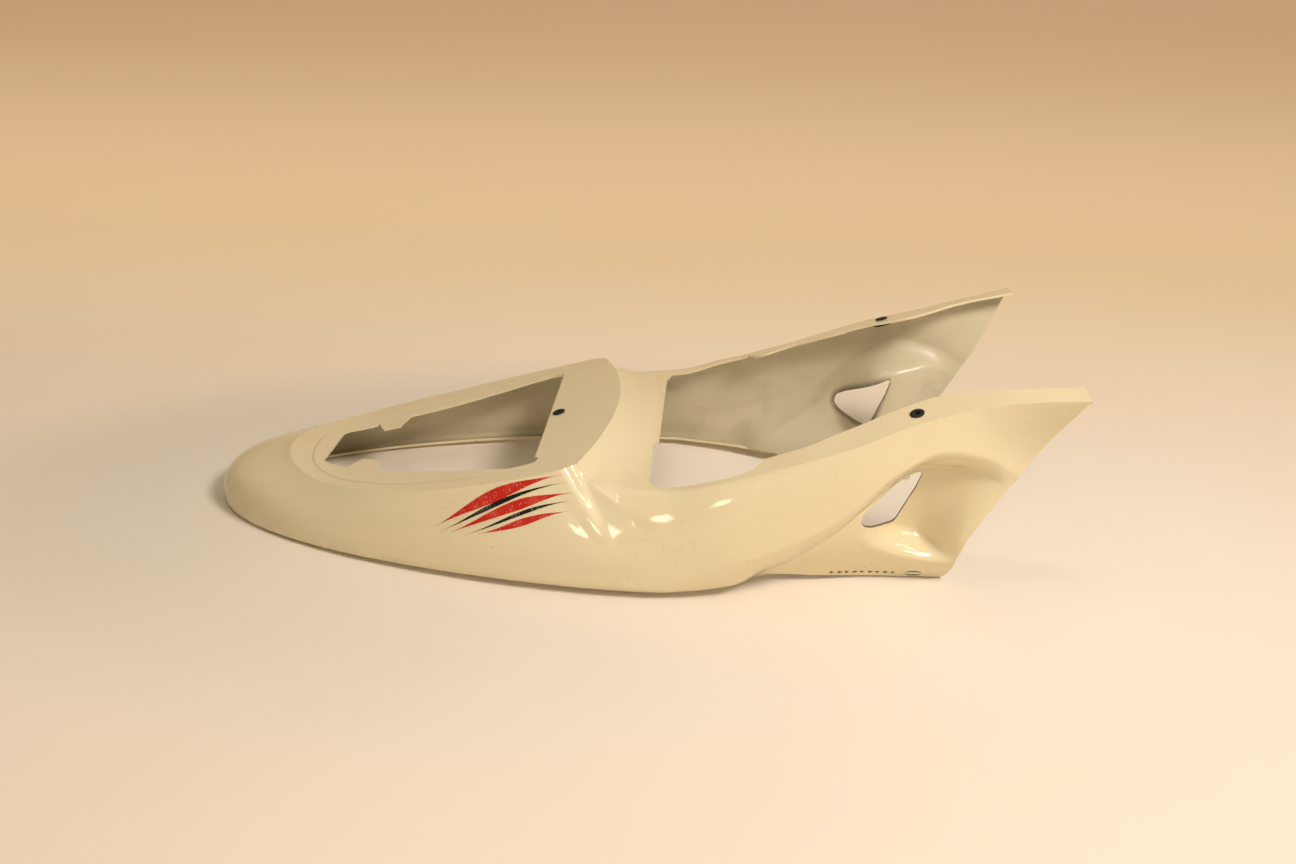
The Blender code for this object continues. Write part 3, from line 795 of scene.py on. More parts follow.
@dataclass
class TailSkin:
    """Outer skin of the fairing's right half, as laws of its sections."""

    wall: float = 0.0023
    lip_width: float = 0.007
    leg_lip_width: float = 0.0055
    lip_rise: float = 0.0008

    deck_rear_x: float = -0.285
    deck_wide_x: float = -0.050
    deck_fan_x: float = -0.240
    deck_half_width: float = 0.121
    deck_corner_x: float = -0.020
    deck_front_x: float = 0.003
    deck_heights: Curve = mm(
        (-300, 52), (-250, 49.5), (-186, 57.5), (-78, 82), (-20, 98.5), (10, 107.5),
    )
    deck_edge_y: Curve = mm((-50, 121), (-34, 120.5), (-20, 115.5), (60, 108))

    tail_x: float = -0.3465
    bulge_x: float = 0.020
    bulge_half_width: float = 0.1445
    bulge_power: float = 1.6
    bulge_clearance: float = 0.0055
    tail_overhang: float = 0.0035
    side_overhang: float = 0.0050
    tail_flank_height: float = 0.007
    flank_height: float = 0.022
    tail_fan: float = 10.0
    tail_slopes: Curve = Curve(((0, 24), (30, 38), (60, 52), (90, 58)))
    side_grip: float = 0.40
    tail_top_grip: float = 0.26
    tail_foot_grip: float = 0.48

    leg_end_x: float = 0.3488
    top_y: Curve = mm(
        (-50, 116), (-6, 118.5), (12, 121.5), (45, 128), (94, 133), (130, 131.5), (181, 131),
        (223, 125), (270, 119.5), (304, 124), (348.8, 136),
    )
    top_z: Curve = mm(
        (-50, 86), (-6, 86), (12, 83.5), (45, 84.5), (94, 96.5), (130, 108), (181, 126.5),
        (223, 144), (257, 155), (304, 168), (348.8, 176.9),
    )
    flank_x: Curve = mm(
        (-50, 20), (-20, 32), (45, 62), (94, 98), (130, 133), (181, 182), (223, 222), (257, 252),
        (304, 284), (348.8, 313.5),
    )
    flank_y: Curve = mm(
        (-50, 149.5), (0, 149.95), (45, 149.4), (94, 147.8), (130, 144), (181, 137), (257, 124.5),
        (348.8, 115.5),
    )
    flank_z: Curve = mm(
        (-50, 22), (20, 23), (45, 26.5), (94, 36), (130, 47.5), (181, 74.5), (223, 111.5),
        (257, 127.5), (304, 123), (348.8, 106),
    )
    foot_x: Curve = mm(
        (-50, 20), (-20, 34), (45, 70), (94, 103), (130, 132), (181, 174), (257, 222),
        (348.8, 264),
    )
    foot_y: Curve = mm(
        (-50, 144.5), (0, 144.5), (45, 140), (94, 130.5), (130, 119), (181, 110), (257, 98.5),
        (348.8, 90.5),
    )
    foot_z: Curve = mm((-50, 5.5), (45, 6), (94, 7.2), (130, 8.5), (181, 5.5), (257, 2), (348.8, 0))
    shoulder_grip: Curve = Curve(((-0.050, 0.40), (0.000, 0.34), (0.060, 0.24), (0.3488, 0.26)))
    top_slopes: Curve = Curve((
        (-0.050, 34), (0.012, 22), (0.045, 24), (0.094, 28), (0.130, 38), (0.181, 60),
        (0.257, 84), (0.304, 102), (0.3488, 110),
    ))
    foot_slopes: Curve = Curve((
        (-0.050, 172), (0.094, 168), (0.130, 128), (0.181, 118), (0.3488, 130),
    ))

    flange_y: Curve = mm(
        (30, 118), (45, 119), (94, 125.5), (115, 122.5), (119, 116), (128, 111.5), (150, 112.5),
        (183, 106), (219, 99), (250, 92), (265, 93), (297, 103), (352, 115),
    )
    flange_rise: Curve = mm((30, 0), (94, 1), (130, 4), (181, 6.5), (270, 5.5), (352, 3))
    flange_spare: float = 0.006
    flange_start_x: float = 0.050
    flange_full_x: float = 0.085
    columns_turn_x: float = 0.030
    columns_share: float = 0.78

    front_bow: Curve = mm((-1, 9), (10, 8), (28, 2), (55, -3.5), (85, -2), (106, 0))
    front_bow_x: float = 0.300

    bow_fade: float = 2.0
    bridge_end_x: float = 0.070
    bridge_mid: Curve = mm((3, 105.5), (14, 98), (26, 90), (38, 85), (70, 84))

    scoop_depth: float = 0.025
    scoop_rear_x: float = 0.197
    scoop_full_x: float = 0.238
    scoop_vane_x: float = 0.246
    corner: Curve = mm(
        (90, -60), (105, -20), (127, 9.3), (145, 22), (162, 37.1), (176.5, 48.1), (199, 71),
        (215, 84), (230, 93.5), (246, 99.2), (261, 101.5), (279, 104), (289, 102), (299, 98.5),
        (311, 91),
    )
    ledge_inner: Curve = mm(
        (127, 6), (162, 31), (197, 59), (219, 52), (233, 48), (273, 34), (290, 28),
    )
    ledge_outer: Curve = mm(
        (127, 3), (162, 21), (197, 42), (213, 35), (233, 28), (265, 22), (290, 18),
    )
    crease_softness: float = 0.80
    corner_softness: float = 0.20
    panel_inset: float = 0.0035
    panel_follow: float = 0.0075
    panel_start_x: float = 0.129
    panel_rise_x: float = 0.085
    panel_full_x: float = 0.125
    panel_fade_x: float = 0.200
    panel_end_x: float = 0.270

    ridge_height: float = 0.0016
    ridge_reach: float = 0.020
    ridge_start_x: float = 0.070
    ridge_full_x: float = 0.130

    pad_radius: float = 0.019
    pad_flat: float = 0.011
    seat_grommet_x: float = -0.049
    leg_grommet_x: float = 0.2335
    leg_grommet_share: float = 0.885
    probe_x: float = 0.01
    probe_share: float = 0.05

    rows_turn_x: float = 0.105
    rows_follow_x: float = 0.165
    least_share: float = 0.004
    halvings: int = 24

    tail_stations: int = 56
    corner_stations: int = 12
    near_stations: int = 20
    near_end_x: float = 0.016
    near_crowding: float = 0.3
    leg_stations: int = 122
    upper_cells: int = 22
    roof_cells: int = 16
    face_cells: int = 8
    ledge_cells: int = 10
    foot_cells: int = 8
    flange_cells: int = 9
    centre_cells: int = 12
    lip_cells: int = 2

    @property
    def lower_cells(self) -> int:
        """Rows between the foot and the flank."""
        return self.roof_cells + self.face_cells + self.ledge_cells + self.foot_cells

    def tail_section(self, angle: float) -> Section:
        """Section of the fan around the tail.

        Args:
            angle: Its angle from the midplane, in degrees.

        Returns:
            The section.
        """
        a = math.radians(angle)
        long = self.deck_wide_x - self.deck_rear_x
        top_x = self.deck_wide_x - long * math.cos(a)
        top = Vector((top_x, -self.deck_half_width * math.sin(a), self.deck_heights.at(top_x)))
        b = a + math.radians(self.tail_fan) * math.sin(2 * a) * math.cos(a)
        foot_x = self.bulge_x - (self.bulge_x - self.tail_x) * math.cos(b)
        full = 1.0 - math.cos(b) ** self.bulge_power if angle < 90 else 1.0
        clearance = self.bulge_clearance * math.sin(a) ** 2
        foot = Vector((foot_x, -self.bulge_half_width * math.sqrt(max(full, 0.0)), clearance))
        outward = Vector((-math.cos(a) / long, -math.sin(a) / self.deck_half_width, 0.0))
        outward.normalize()
        flank = foot + outward * lerp(self.tail_overhang, self.side_overhang, math.sin(a))
        flank.z = lerp(self.tail_flank_height, self.flank_height, math.sin(a))
        grips = (
            lerp(self.tail_top_grip, self.side_grip, math.sin(a)),
            lerp(self.tail_foot_grip, self.side_grip, math.sin(a)),
        )
        foot_slope = self.foot_slopes.at(self.deck_wide_x)
        slopes = (math.radians(self.tail_slopes.at(angle)), math.radians(foot_slope))
        return Section(top, flank, foot, outward, *slopes, self.lip_width, grips, self.lip_rise)

    def front_section(self, x: float) -> Section:
        """Section of the body and leg.

        Args:
            x: Place of its top edge.

        Returns:
            The section.
        """
        top = Vector((x, -self.top_y.at(x), self.top_z.at(x)))
        flank = Vector((self.flank_x.at(x), -self.flank_y.at(x), self.flank_z.at(x)))
        foot = Vector((self.foot_x.at(x), -self.foot_y.at(x), self.foot_z.at(x)))
        narrowing = eased(foot.x, self.bulge_x, self.panel_start_x)
        lip = lerp(self.lip_width, self.leg_lip_width, narrowing)
        slopes = (math.radians(self.top_slopes.at(x)), math.radians(self.foot_slopes.at(x)))
        grips = (self.side_grip, self.side_grip)
        side = Vector((0.0, -1.0, 0.0))
        section = Section(top, flank, foot, side, *slopes, lip, grips, self.lip_rise)
        section.shoulder_grip = self.shoulder_grip.at(x)
        if x < self.deck_corner_x + section.crease_fade:
            section.deck = Vector((x, -self.deck_edge_y.at(x), self.deck_heights.at(x)))
            section.ahead = x - self.deck_corner_x
        return section

    def leg_front_x(self, z: float) -> float:
        """X of the leg's sloping front edge at a height."""
        end = self.leg_end_x
        line = lerp(self.foot_x.at(end), self.flank_x.at(end), z / self.flank_z.at(end))
        return line + self.front_bow.at(z)

    def roof_share(self, x: float, z: float, crease: float) -> float:
        """Share of its full depth that the hollow below the crease has reached at a height."""
        t = (crease - z) / (crease - self.corner.at(x))
        return ramp(t, self.crease_softness, self.corner_softness)

    def sink(self, x: float, z: float, crease: float) -> float:
        """How far the scoop and the lower panel lie inside the leg's side.

        Args:
            x: Place along the leg.
            z: Height.
            crease: Height of the flank there.

        Returns:
            The depth.
        """
        if z >= crease or x < self.panel_rise_x:
            return 0.0
        start = eased(x, self.panel_rise_x, self.panel_full_x)
        fade = 1.0 - eased(x, self.panel_fade_x, self.panel_end_x)
        depth = (self.panel_inset + self.panel_follow * z / crease) * start * fade
        outer = self.ledge_outer.at(x)
        if x > self.scoop_rear_x and z > outer:
            rise = eased(x, self.scoop_rear_x, self.scoop_full_x)
            fall = eased(x, self.leg_front_x(z), self.scoop_vane_x)
            ledge = eased(z, outer, self.ledge_inner.at(x))
            depth += self.scoop_depth * rise * fall * ledge
        return depth * self.roof_share(x, z, crease)

    def ridge(self, place: Vector, crease: float) -> float:
        """How far the leg's crease stands out of its rounded side at a place."""
        start = eased(place.x, self.ridge_start_x, self.ridge_full_x)
        near = max(0.0, 1.0 - abs(place.z - crease) / self.ridge_reach)
        return self.ridge_height * start * near * near

    def bow(self, point: Vector, x: float) -> None:
        """Move a point of the section at x as the leg's front edge bows."""
        point.x += self.front_bow.at(point.z) * eased(x, self.front_bow_x, self.leg_end_x)

    def share_at(self, section: Section, heights: Curve) -> float:
        """Share of a section's lower side at which it meets a line of heights."""
        low, high = 0.0, 1.0
        for _ in range(self.halvings):
            middle = (low + high) / 2
            point = section.lower(middle)
            if point.z > heights.at(point.x):
                low = middle
            else:
                high = middle
        return low

    def lower_shares(self, section: Section) -> list[float]:
        """Shares of the lower side from the foot up, in rows that follow corner and ledge."""
        cells = (self.roof_cells, self.face_cells, self.ledge_cells, self.foot_cells)
        leg = eased(section.flank.x, self.rows_turn_x, self.rows_follow_x)
        marks, done = [0.0], 0
        for count, line in zip(cells, (self.corner, self.ledge_inner, self.ledge_outer)):
            done += count
            even = done / sum(cells)
            mark = lerp(even, self.share_at(section, line), leg) if leg > 0.0 else even
            room = 1.0 - self.least_share * (sum(cells) - done)
            marks.append(min(max(mark, marks[-1] + self.least_share * count), room))
        marks.append(1.0)
        shares = []
        for count, high, low in zip(reversed(cells), reversed(marks[:-1]), reversed(marks[1:])):
            shares += [lerp(low, high, i / count) for i in range(count)]
        return shares

    def deck_point(self, top: Vector, x: float | None, q: float) -> Vector:
        """Point of the deck or the bridge.

        Args:
            top: Top edge of the section.
            x: Place of the section's top edge, or None around the tail.
            q: Share of the way from the midplane to the top edge.

        Returns:
            The point.
        """
        if x is None:
            share = (top.x - self.deck_wide_x) / (self.deck_rear_x - self.deck_wide_x)
            px = lerp(lerp(self.deck_wide_x, self.deck_fan_x, share), top.x, q)
            return Vector((px, top.y * q, self.deck_heights.at(px)))
        if x <= self.deck_corner_x:
            ahead = eased(x, self.deck_wide_x, self.deck_corner_x)
            mid_x = lerp(top.x, self.deck_front_x, ahead)
            px = mid_x - (mid_x - top.x) * q * q
            return Vector((px, top.y * q, self.deck_heights.at(px)))
        share = (x - self.deck_corner_x) / (self.bridge_end_x - self.deck_corner_x)
        mid_x = lerp(self.deck_front_x, self.bridge_end_x, share)
        px = mid_x - (mid_x - top.x) * q * q
        edge_x = self.deck_front_x - (self.deck_front_x - self.deck_corner_x) * q * q
        ends = (self.deck_heights.at(self.deck_front_x), self.deck_heights.at(self.deck_corner_x))
        bow = self.deck_heights.at(edge_x) - lerp(*ends, q**3)
        z = lerp(self.bridge_mid.at(mid_x), top.z, q**3) + bow * (1.0 - ease(self.bow_fade * share))
        return Vector((px, top.y * q, z))

    def flange_point(self, top: Vector, x: float | None, q: float, inner: float) -> Vector:
        """Point of the top between its edge and the flange's inner edge."""
        inside = self.deck_point(top, x, q)
        if x is None or x <= self.flange_start_x:
            return inside
        rise = self.flange_rise.at(x) * (1.0 - q) / (1.0 - inner)
        level = Vector((top.x, top.y * q, top.z + rise))
        return inside.lerp(level, eased(x, self.flange_start_x, self.flange_full_x))

    def inner_share(self, top: Vector, x: float | None) -> float:
        """Share of the half width at which the flange's columns end."""
        if x is None or x < self.columns_turn_x:
            return self.columns_share
        return (self.flange_y.at(x) - self.flange_spare) / -top.y

    def points(self, section: Section, x: float | None) -> list[Vector]:
        """All points of one section, from the lip's end to the midplane."""
        points = []
        foot = section.lower(1.0)
        inset = self.sink(foot.x, foot.z, section.flank.z) if x is not None else 0.0
        for i in range(self.lip_cells):
            share = i / self.lip_cells
            lip = section.rim(1.0 - share) + Vector((0.0, inset * share, 0.0))
            if x is not None:
                self.bow(lip, x)
            points.append(lip)
        for share in self.lower_shares(section):
            point = section.lower(share)
            if x is not None:
                point.y += self.sink(point.x, point.z, section.flank.z)
                point.y -= self.ridge(point, section.flank.z)
                self.bow(point, x)
            points.append(point)
        for i in range(self.upper_cells):
            point = section.upper(1.0 - i / self.upper_cells)
            if x is not None:
                point.y -= self.ridge(point, section.flank.z)
            points.append(point)
        top = section.top
        inner = self.inner_share(top, x)
        for i in range(self.flange_cells + 1):
            points.append(self.flange_point(top, x, lerp(1.0, inner, i / self.flange_cells), inner))
        if x is None or x <= self.bridge_end_x:
            for i in range(1, self.centre_cells + 1):
                points.append(self.deck_point(top, x, inner * (1.0 - i / self.centre_cells)))
        return points

    def front_places(self) -> list[float]:
        """X of each front section's top edge, closer together at the deck's corner."""
        rear, near, leg = self.corner_stations, self.near_stations, self.leg_stations - 1
        places = [lerp(self.deck_wide_x, self.deck_corner_x, i / rear) for i in range(1, rear + 1)]
        for i in range(1, near):
            share = lerp(i / near, ease(i / near), self.near_crowding)
            places.append(lerp(self.deck_corner_x, self.near_end_x, share))
        return places + [lerp(self.near_end_x, self.leg_end_x, i / leg) for i in range(leg + 1)]

    def seat_frame(self) -> tuple[Vector, Vector]:
        """Centre and normal of the deck's pad."""
        x, step = self.seat_grommet_x, self.probe_x
        rise = (self.deck_heights.at(x + step) - self.deck_heights.at(x - step)) / (2 * step)
        return Vector((x, 0.0, self.deck_heights.at(x))), Vector((-rise, 0.0, 1.0)).normalized()

    def leg_frame(self, side: Side) -> tuple[Vector, Vector]:
        """Centre and normal of a leg's pad."""

        def at(x: float, q: float) -> Vector:
            """Point of the flange."""
            top = self.front_section(x).top
            return self.flange_point(top, x, q, self.inner_share(top, x))

        x, q = self.leg_grommet_x, self.leg_grommet_share
        along, aside = self.probe_x, self.probe_share
        run = at(x + along, q) - at(x - along, q)
        normal = run.cross(at(x, q + aside) - at(x, q - aside))
        normal = normal.normalized() if normal.z > 0 else -normal.normalized()
        centre = at(x, q)
        flip = Vector((1.0, -side.value, 1.0))
        return centre * flip, normal * flip

    def flatten(self, bm: bmesh.types.BMesh) -> None:
        """Make the skin flat under each grommet of the right half."""
        for centre, normal in (self.seat_frame(), self.leg_frame(Side.RIGHT)):
            for v in bm.verts:
                height = (v.co - centre).dot(normal)
                far = (v.co - centre).length
                if far < self.pad_radius and abs(height) < self.wall / 2:
                    hold = 1.0 - eased(far, self.pad_flat, self.pad_radius)
                    v.co -= normal * height * hold

    def build(self) -> bmesh.types.BMesh:
        """Grid of the right half's skin, with the deck's edge marked as sharp."""
        bm = bmesh.new()
        tail = range(self.tail_stations + 1)
        rows = [(None, self.tail_section(90.0 * i / self.tail_stations)) for i in tail]
        rows += [(x, self.front_section(x)) for x in self.front_places()]
        grid = [[bm.verts.new(p) for p in self.points(section, x)] for x, section in rows]
        edge = self.lip_cells + self.lower_cells + self.upper_cells
        for (x, _), a, b in zip(rows[1:], grid[:-1], grid[1:]):
            for j in range(min(len(a), len(b)) - 1):
                bm.faces.new((a[j], b[j], b[j + 1], a[j + 1]))
            if x is None or x <= self.deck_corner_x + MERGE:
                bm.edges.get((a[edge], b[edge])).smooth = False
            if x is not None and abs(x - self.deck_corner_x) < MERGE:
                for j in range(edge, len(b) - 1):
                    bm.edges.get((b[j], b[j + 1])).smooth = False
        bmesh.ops.remove_doubles(bm, verts=bm.verts, dist=MERGE)
        self.flatten(bm)
        for v in bm.verts:
            if abs(v.co.y) < MERGE:
                v.co.y = 0.0
        bmesh.ops.recalc_face_normals(bm, faces=bm.faces)
        return bm


@dataclass
class Openings:
    """Outlines of what is cut out of the shell, and the cutters made from them."""

    skin: TailSkin
    right: tuple[Point3, ...] = metres(
        (-57, -85, 0), (-54.5, -86, 1), (-54.5, -92, 1), (-57.5, -96, 3), (-75, -97.5, 30),
        (-196, -59, 0), (-197, -42, 1), (-199, -38.5, 2), (-213.5, -32.5, 3), (-219, -40, 4),
        (-223.5, -49, 5), (-249, -33, 8),
    )
    left: tuple[Point3, ...] = metres(
        (-57, 90, 0), (-57, 96.5, 2), (-68, 98.5, 6), (-86, 94, 20), (-194, 56, 0),
        (-196.5, 45, 2), (-198.5, 33.5, 2), (-213, 29, 3), (-215.5, 32, 2), (-220.5, 43.5, 4),
        (-225, 40, 5), (-248, 29, 8),
    )
    rider_rear_x: float = 0.0355
    tongue_x: float = 0.0395
    tongue_right_y: float = -0.038
    tongue_radius: float = 0.002
    tongue_slant: float = 0.007
    corner_radius: float = 0.012
    corner_x: float = 0.045
    edge_x: float = 0.060
    slit_y: float = 0.0985
    slit_width: float = 0.0018
    slit_length: float = 0.0125
    slit_radii: Point2 = (0.0005, 0.0004)
    leg_end_x: float = 0.352
    leg_steps: int = 90
    end_spare: float = 0.010
    hole: tuple[Point2, ...] = metres(
        (247, 99), (233.5, 91.8), (222, 85.2), (208.5, 76.8), (200.3, 70.5), (198.5, 63.5),
        (202.5, 58), (209, 54.5), (218, 52), (229, 50.5), (234, 62), (238.5, 73.5), (242.5, 83),
    )
    hole_rounding: float = 0.006
    leg_corner_radius: float = 0.010
    spare: float = 0.016
    edge_spare: float = 0.001
    side_cut: Point2 = (0.080, 0.170)
    sides: int = 10
    hole_sides: int = 48

    def passenger(self) -> list[Point2]:
        """Outline of the passenger opening."""
        return rounded(self.right + tuple(reversed(self.left)), self.sides)

    def rider(self) -> list[Point2]:
        """Outline of the rider's opening, with the slit at its far corner."""
        end, count = self.leg_end_x, self.leg_steps
        steps = [lerp(self.edge_x, end, i / count) for i in range(count + 1)]
        legs = [(x, self.skin.flange_y.at(x)) for x in steps + [end + self.end_spare]]
        half = self.skin.flange_y.at(self.corner_x)
        small = self.tongue_radius
        mouth, tip = self.slit_radii
        corners = [(self.rider_rear_x, -half, self.corner_radius)]
        corners += [(x, -y, 0.0) for x, y in legs]
        corners += [(x, y, 0.0) for x, y in reversed(legs)]
        corners += [
            (self.tongue_x + 2 * small, half, 2 * small),
            (self.tongue_x, self.slit_y + self.slit_width, mouth),
            (self.tongue_x - self.slit_length, self.slit_y, tip),
            (self.tongue_x, self.slit_y - self.slit_width, mouth),
            (self.tongue_x, self.tongue_right_y, small),
            (self.rider_rear_x, self.tongue_right_y - self.tongue_slant, small),
        ]
        return rounded(corners, self.sides)

    def scoop(self) -> list[Point2]:
        """Outline of the hole through a leg, in X and Z."""
        return rounded([(x, z, self.hole_rounding) for x, z in self.hole], self.sides)

    def leg_corner(self) -> list[Point2]:
        """Outline of what is cut from a leg's lower front corner, in X and Z."""
        reach = 2 * self.leg_corner_radius
        low_x = self.skin.leg_front_x(0.0)
        beyond = low_x + reach + self.spare
        corners = (
            (low_x - reach, -self.edge_spare, 0.0),
            (low_x, -self.edge_spare, self.leg_corner_radius),
            (self.skin.leg_front_x(reach) + self.edge_spare, reach, 0.0),
            (beyond, reach, 0.0),
            (beyond, -self.spare, 0.0),
            (low_x - reach, -self.spare, 0.0),
        )
        return rounded(corners, self.sides)

    def top_height(self, x: float) -> float:
        """Height of the deck, bridge or flange at an X."""
        return self.skin.deck_heights.at(x) if x < self.skin.deck_wide_x else self.skin.top_z.at(x)

    def _prism(
        self,
        bm: bmesh.types.BMesh,
        outline: Sequence[Point2],
        place: Callable[[Point2, float], Point3],
        ends: Point2,
    ) -> None:
        """Add an outline to the cutter, swept between two distances.

        Args:
            bm: The cutter's geometry.
            outline: The outline.
            place: Gives the place of a point of the outline at a distance.
            ends: The two distances.
        """
        bottom, upper = ([bm.verts.new(place(p, end)) for p in outline] for end in ends)
        faces = [bm.faces.new(bottom), bm.faces.new(upper)]
        count = len(outline)
        for i in range(count):
            j = (i + 1) % count
            faces.append(bm.faces.new((bottom[i], bottom[j], upper[j], upper[i])))
        caps = bmesh.ops.triangulate(bm, faces=faces[:2])["faces"]
        bmesh.ops.recalc_face_normals(bm, faces=faces[2:] + caps)

    def cutter(self, hole_radius: float) -> bpy.types.Object:
        """All cutters in one mesh; none touches another.

        Args:
            hole_radius: Radius of the grommets' holes.

        Returns:
            The cutter.
        """

        def over(p: Point2, far: float) -> Point3:
            """Place over a point of the deck, bridge or flange."""
            return p[0], p[1], self.top_height(p[0]) + far

        bm = bmesh.new()
        for outline in (self.passenger(), self.rider()):
            self._prism(bm, outline, over, (-self.spare, 2 * self.spare))
        near, far = self.side_cut
        for side in Side:
            ends = (side.value * near, side.value * far)
            for outline in (self.scoop(), self.leg_corner()):
                self._prism(bm, outline, lambda p, y: (p[0], y, p[1]), ends)
        frames = [self.skin.seat_frame()] + [self.skin.leg_frame(side) for side in Side]
        for centre, normal in frames:
            turn = normal.to_track_quat("Z", "Y").to_matrix().to_4x4()
            bmesh.ops.create_cone(
                bm,
                cap_ends=True,
                segments=self.hole_sides,
                radius1=hole_radius,
                radius2=hole_radius,
                depth=6 * self.skin.wall,
                matrix=Matrix.Translation(centre) @ turn,
            )
        return from_bmesh("opening_cutter", bm)


@dataclass
class TailShell:
    """The moulded shell: its mesh, what it carries for its finish, and its dressing."""

    skin: TailSkin
    openings: Openings
    hole_radius: float = 0.0043
    grime_reach: float = 0.0065
    edge_reach: float = 0.0008
    edge_facing: float = 0.5
    edge_hold: float = 0.0002
    deck_hold: float = 0.0006
    vane_x: float = 0.2285
    grime_end_x: float = 0.232
    grime_fade: float = 0.016
    hole_x: Point2 = (0.18, 0.27)
    hole_z: Point2 = (0.03, 0.115)
    sharp_angle: float = 34.0
    finish: IvoryPlastic = IvoryPlastic()

    def build(self) -> bpy.types.Object:
        """Build the shell and put it in the place of its CAD node.

        Returns:
            The piece.
        """
        shell = from_bmesh("moulded_shell", self.skin.build())
        shell.data.materials.append(None)
        shell.data.materials.append(None)
        mirror = shell.modifiers.new("Mirror", "MIRROR")
        mirror.use_axis = (False, True, False)
        mirror.use_clip = True
        mirror.merge_threshold = MERGE
        wall = shell.modifiers.new("Wall", "SOLIDIFY")
        wall.thickness = self.skin.wall
        wall.offset = -1.0
        wall.use_even_offset = True
        wall.material_offset = 1
        freeze(shell)
        cutter = self.openings.cutter(self.hole_radius)
        cut = shell.modifiers.new("Openings", "BOOLEAN")
        cut.operation = "DIFFERENCE"
        cut.solver = "EXACT"
        cut.object = cutter
        freeze(shell)
        bpy.data.objects.remove(cutter)
        self._mark(shell)
        shade(shell, self.sharp_angle)
        shell.data.materials.append(self.finish.make())
        seat(shell)
        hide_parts("tail_shell")
        return shell

    def _mark(self, shell: bpy.types.Object) -> None:
        """Store which faces are inside or on the deck, and how much dirt and painted shade each
        vertex holds.

        Args:
            shell: The cut shell, whose inner faces have the second slot.
        """
        mesh = shell.data
        outline = [Vector((x, z)) for x, z in self.openings.scoop()]
        unseen, on_deck = [], []
        for polygon in mesh.polygons:
            centre = polygon.center
            # The cut faces round each leg hole count as inside, so they take the darker inside
            # colour and the band of dirt and painted shade.
            edge = self._far(centre, outline) < self.edge_hold
            edge = edge and abs(polygon.normal.y) < self.edge_facing
            unseen.append(float(edge or polygon.material_index == 1))
            level = abs(centre.z - self.skin.deck_heights.at(centre.x)) < self.deck_hold
            on_deck.append(float(level and centre.x < self.skin.deck_front_x))
        grime_and_shade = [self._grime_and_shade(v.co, outline) for v in mesh.vertices]
        marks = (("inner", "FACE", unseen), ("deck", "FACE", on_deck), ("grime_and_shade", "POINT", grime_and_shade))
        for name, domain, values in marks:
            mesh.attributes.new(name, "FLOAT", domain).data.foreach_set("value", values)
        mesh.polygons.foreach_set("material_index", [0] * len(mesh.polygons))
        mesh.materials.clear()

    def _far(self, place: Vector, outline: Sequence[Vector]) -> float:
        """Distance of a place from the edge of the leg's hole, seen from the side."""
        (rear, front), (low, high) = self.hole_x, self.hole_z
        if not rear < place.x < front or not low < place.z < high:
            return math.inf
        here = Vector((place.x, place.z))
        least = math.inf
        for a, b in zip(outline, list(outline[1:]) + [outline[0]]):
            step = b - a
            share = min(max((here - a).dot(step) / step.length_squared, 0.0), 1.0)
            least = min(least, (here - a - step * share).length)
        return least

    def _grime_and_shade(self, place: Vector, outline: Sequence[Vector]) -> float:
        """How much dirt and painted shade a place holds, from 0 to 1."""
        far = self._far(place, outline)
        # Painted shade: a full band on the cut edge in the gap at the right leg's vane. On the left
        # leg it runs all round the hole, as dirt on its rim.
        if far < self.edge_reach and (place.y > 0.0 or place.x > self.vane_x):
            return 1.0
        if far > self.grime_reach:
            return 0.0
        rear = 1.0 - ease((place.x - self.grime_end_x) / self.grime_fade)
        return rear * (1.0 - ease(far / self.grime_reach))


# Pieces laid on the shell


@dataclass
class Surface:
    """Finds places on the near side of the finished shell."""

    shell: bpy.types.Object
    start_y: float = -0.4

    def __post_init__(self) -> None:
        """Build the search tree."""
        bm = bmesh.new()
        bm.from_mesh(self.shell.data)
        self.tree = BVHTree.FromBMesh(bm)
        bm.free()

    def place(self, x: float, z: float, lift: float) -> Vector:
        """Place at a height above the outside of the near flank or leg."""
        start = Vector((x, self.start_y, z))
        place, normal, _, _ = self.tree.ray_cast(start, Vector((0.0, 1.0, 0.0)))
        return place + normal * lift


class NodeBuilder(Tree):
    """Builds one Geometry Nodes tree with named inputs."""

    def __init__(self, name: str) -> None:
        """Start a tree that takes and gives geometry."""
        self.tree = bpy.data.node_groups.new(name, "GeometryNodeTree")
        for way in ("INPUT", "OUTPUT"):
            self.tree.interface.new_socket("Geometry", in_out=way, socket_type="NodeSocketGeometry")
        self.entry = self.node("NodeGroupInput")
        self.values: dict[str, Any] = {}

    def size(self, name: str, value: float | int) -> bpy.types.NodeSocket:
        """Add a named input.

        Args:
            name: Its name.
            value: Its value, a length in metres or a whole number.

        Returns:
            The socket that gives it.
        """
        kind = "NodeSocketInt" if isinstance(value, int) else "NodeSocketFloat"
        item = self.tree.interface.new_socket(name, in_out="INPUT", socket_type=kind)
        self.values[item.identifier] = value
        return self.entry.outputs[name]

    def math(self, operation: str, a: Any, b: Any) -> bpy.types.NodeSocket:
        """Result of a Math node."""
        return self.node("ShaderNodeMath", {"operation": operation}, {0: a, 1: b}).outputs[0]

    def finish(
        self, geometry: bpy.types.NodeSocket, material: bpy.types.Material, obj: bpy.types.Object
    ) -> None:
        """End the tree, run it on an object and keep the plain mesh.

        Args:
            geometry: What the tree has made.
            material: The finish it gets.
            obj: The object that carries the tree's input geometry.
        """
        real = self.node("GeometryNodeRealizeInstances", None, {0: geometry})
        inputs = {0: real.outputs[0], "Material": material}
        dressed = self.node("GeometryNodeSetMaterial", None, inputs)
        self.node("NodeGroupOutput", None, {0: dressed.outputs[0]})
        modifier = obj.modifiers.new("Nodes", "NODES")
        modifier.node_group = self.tree
        for identifier, value in self.values.items():
            modifier[identifier] = value
        freeze(obj)


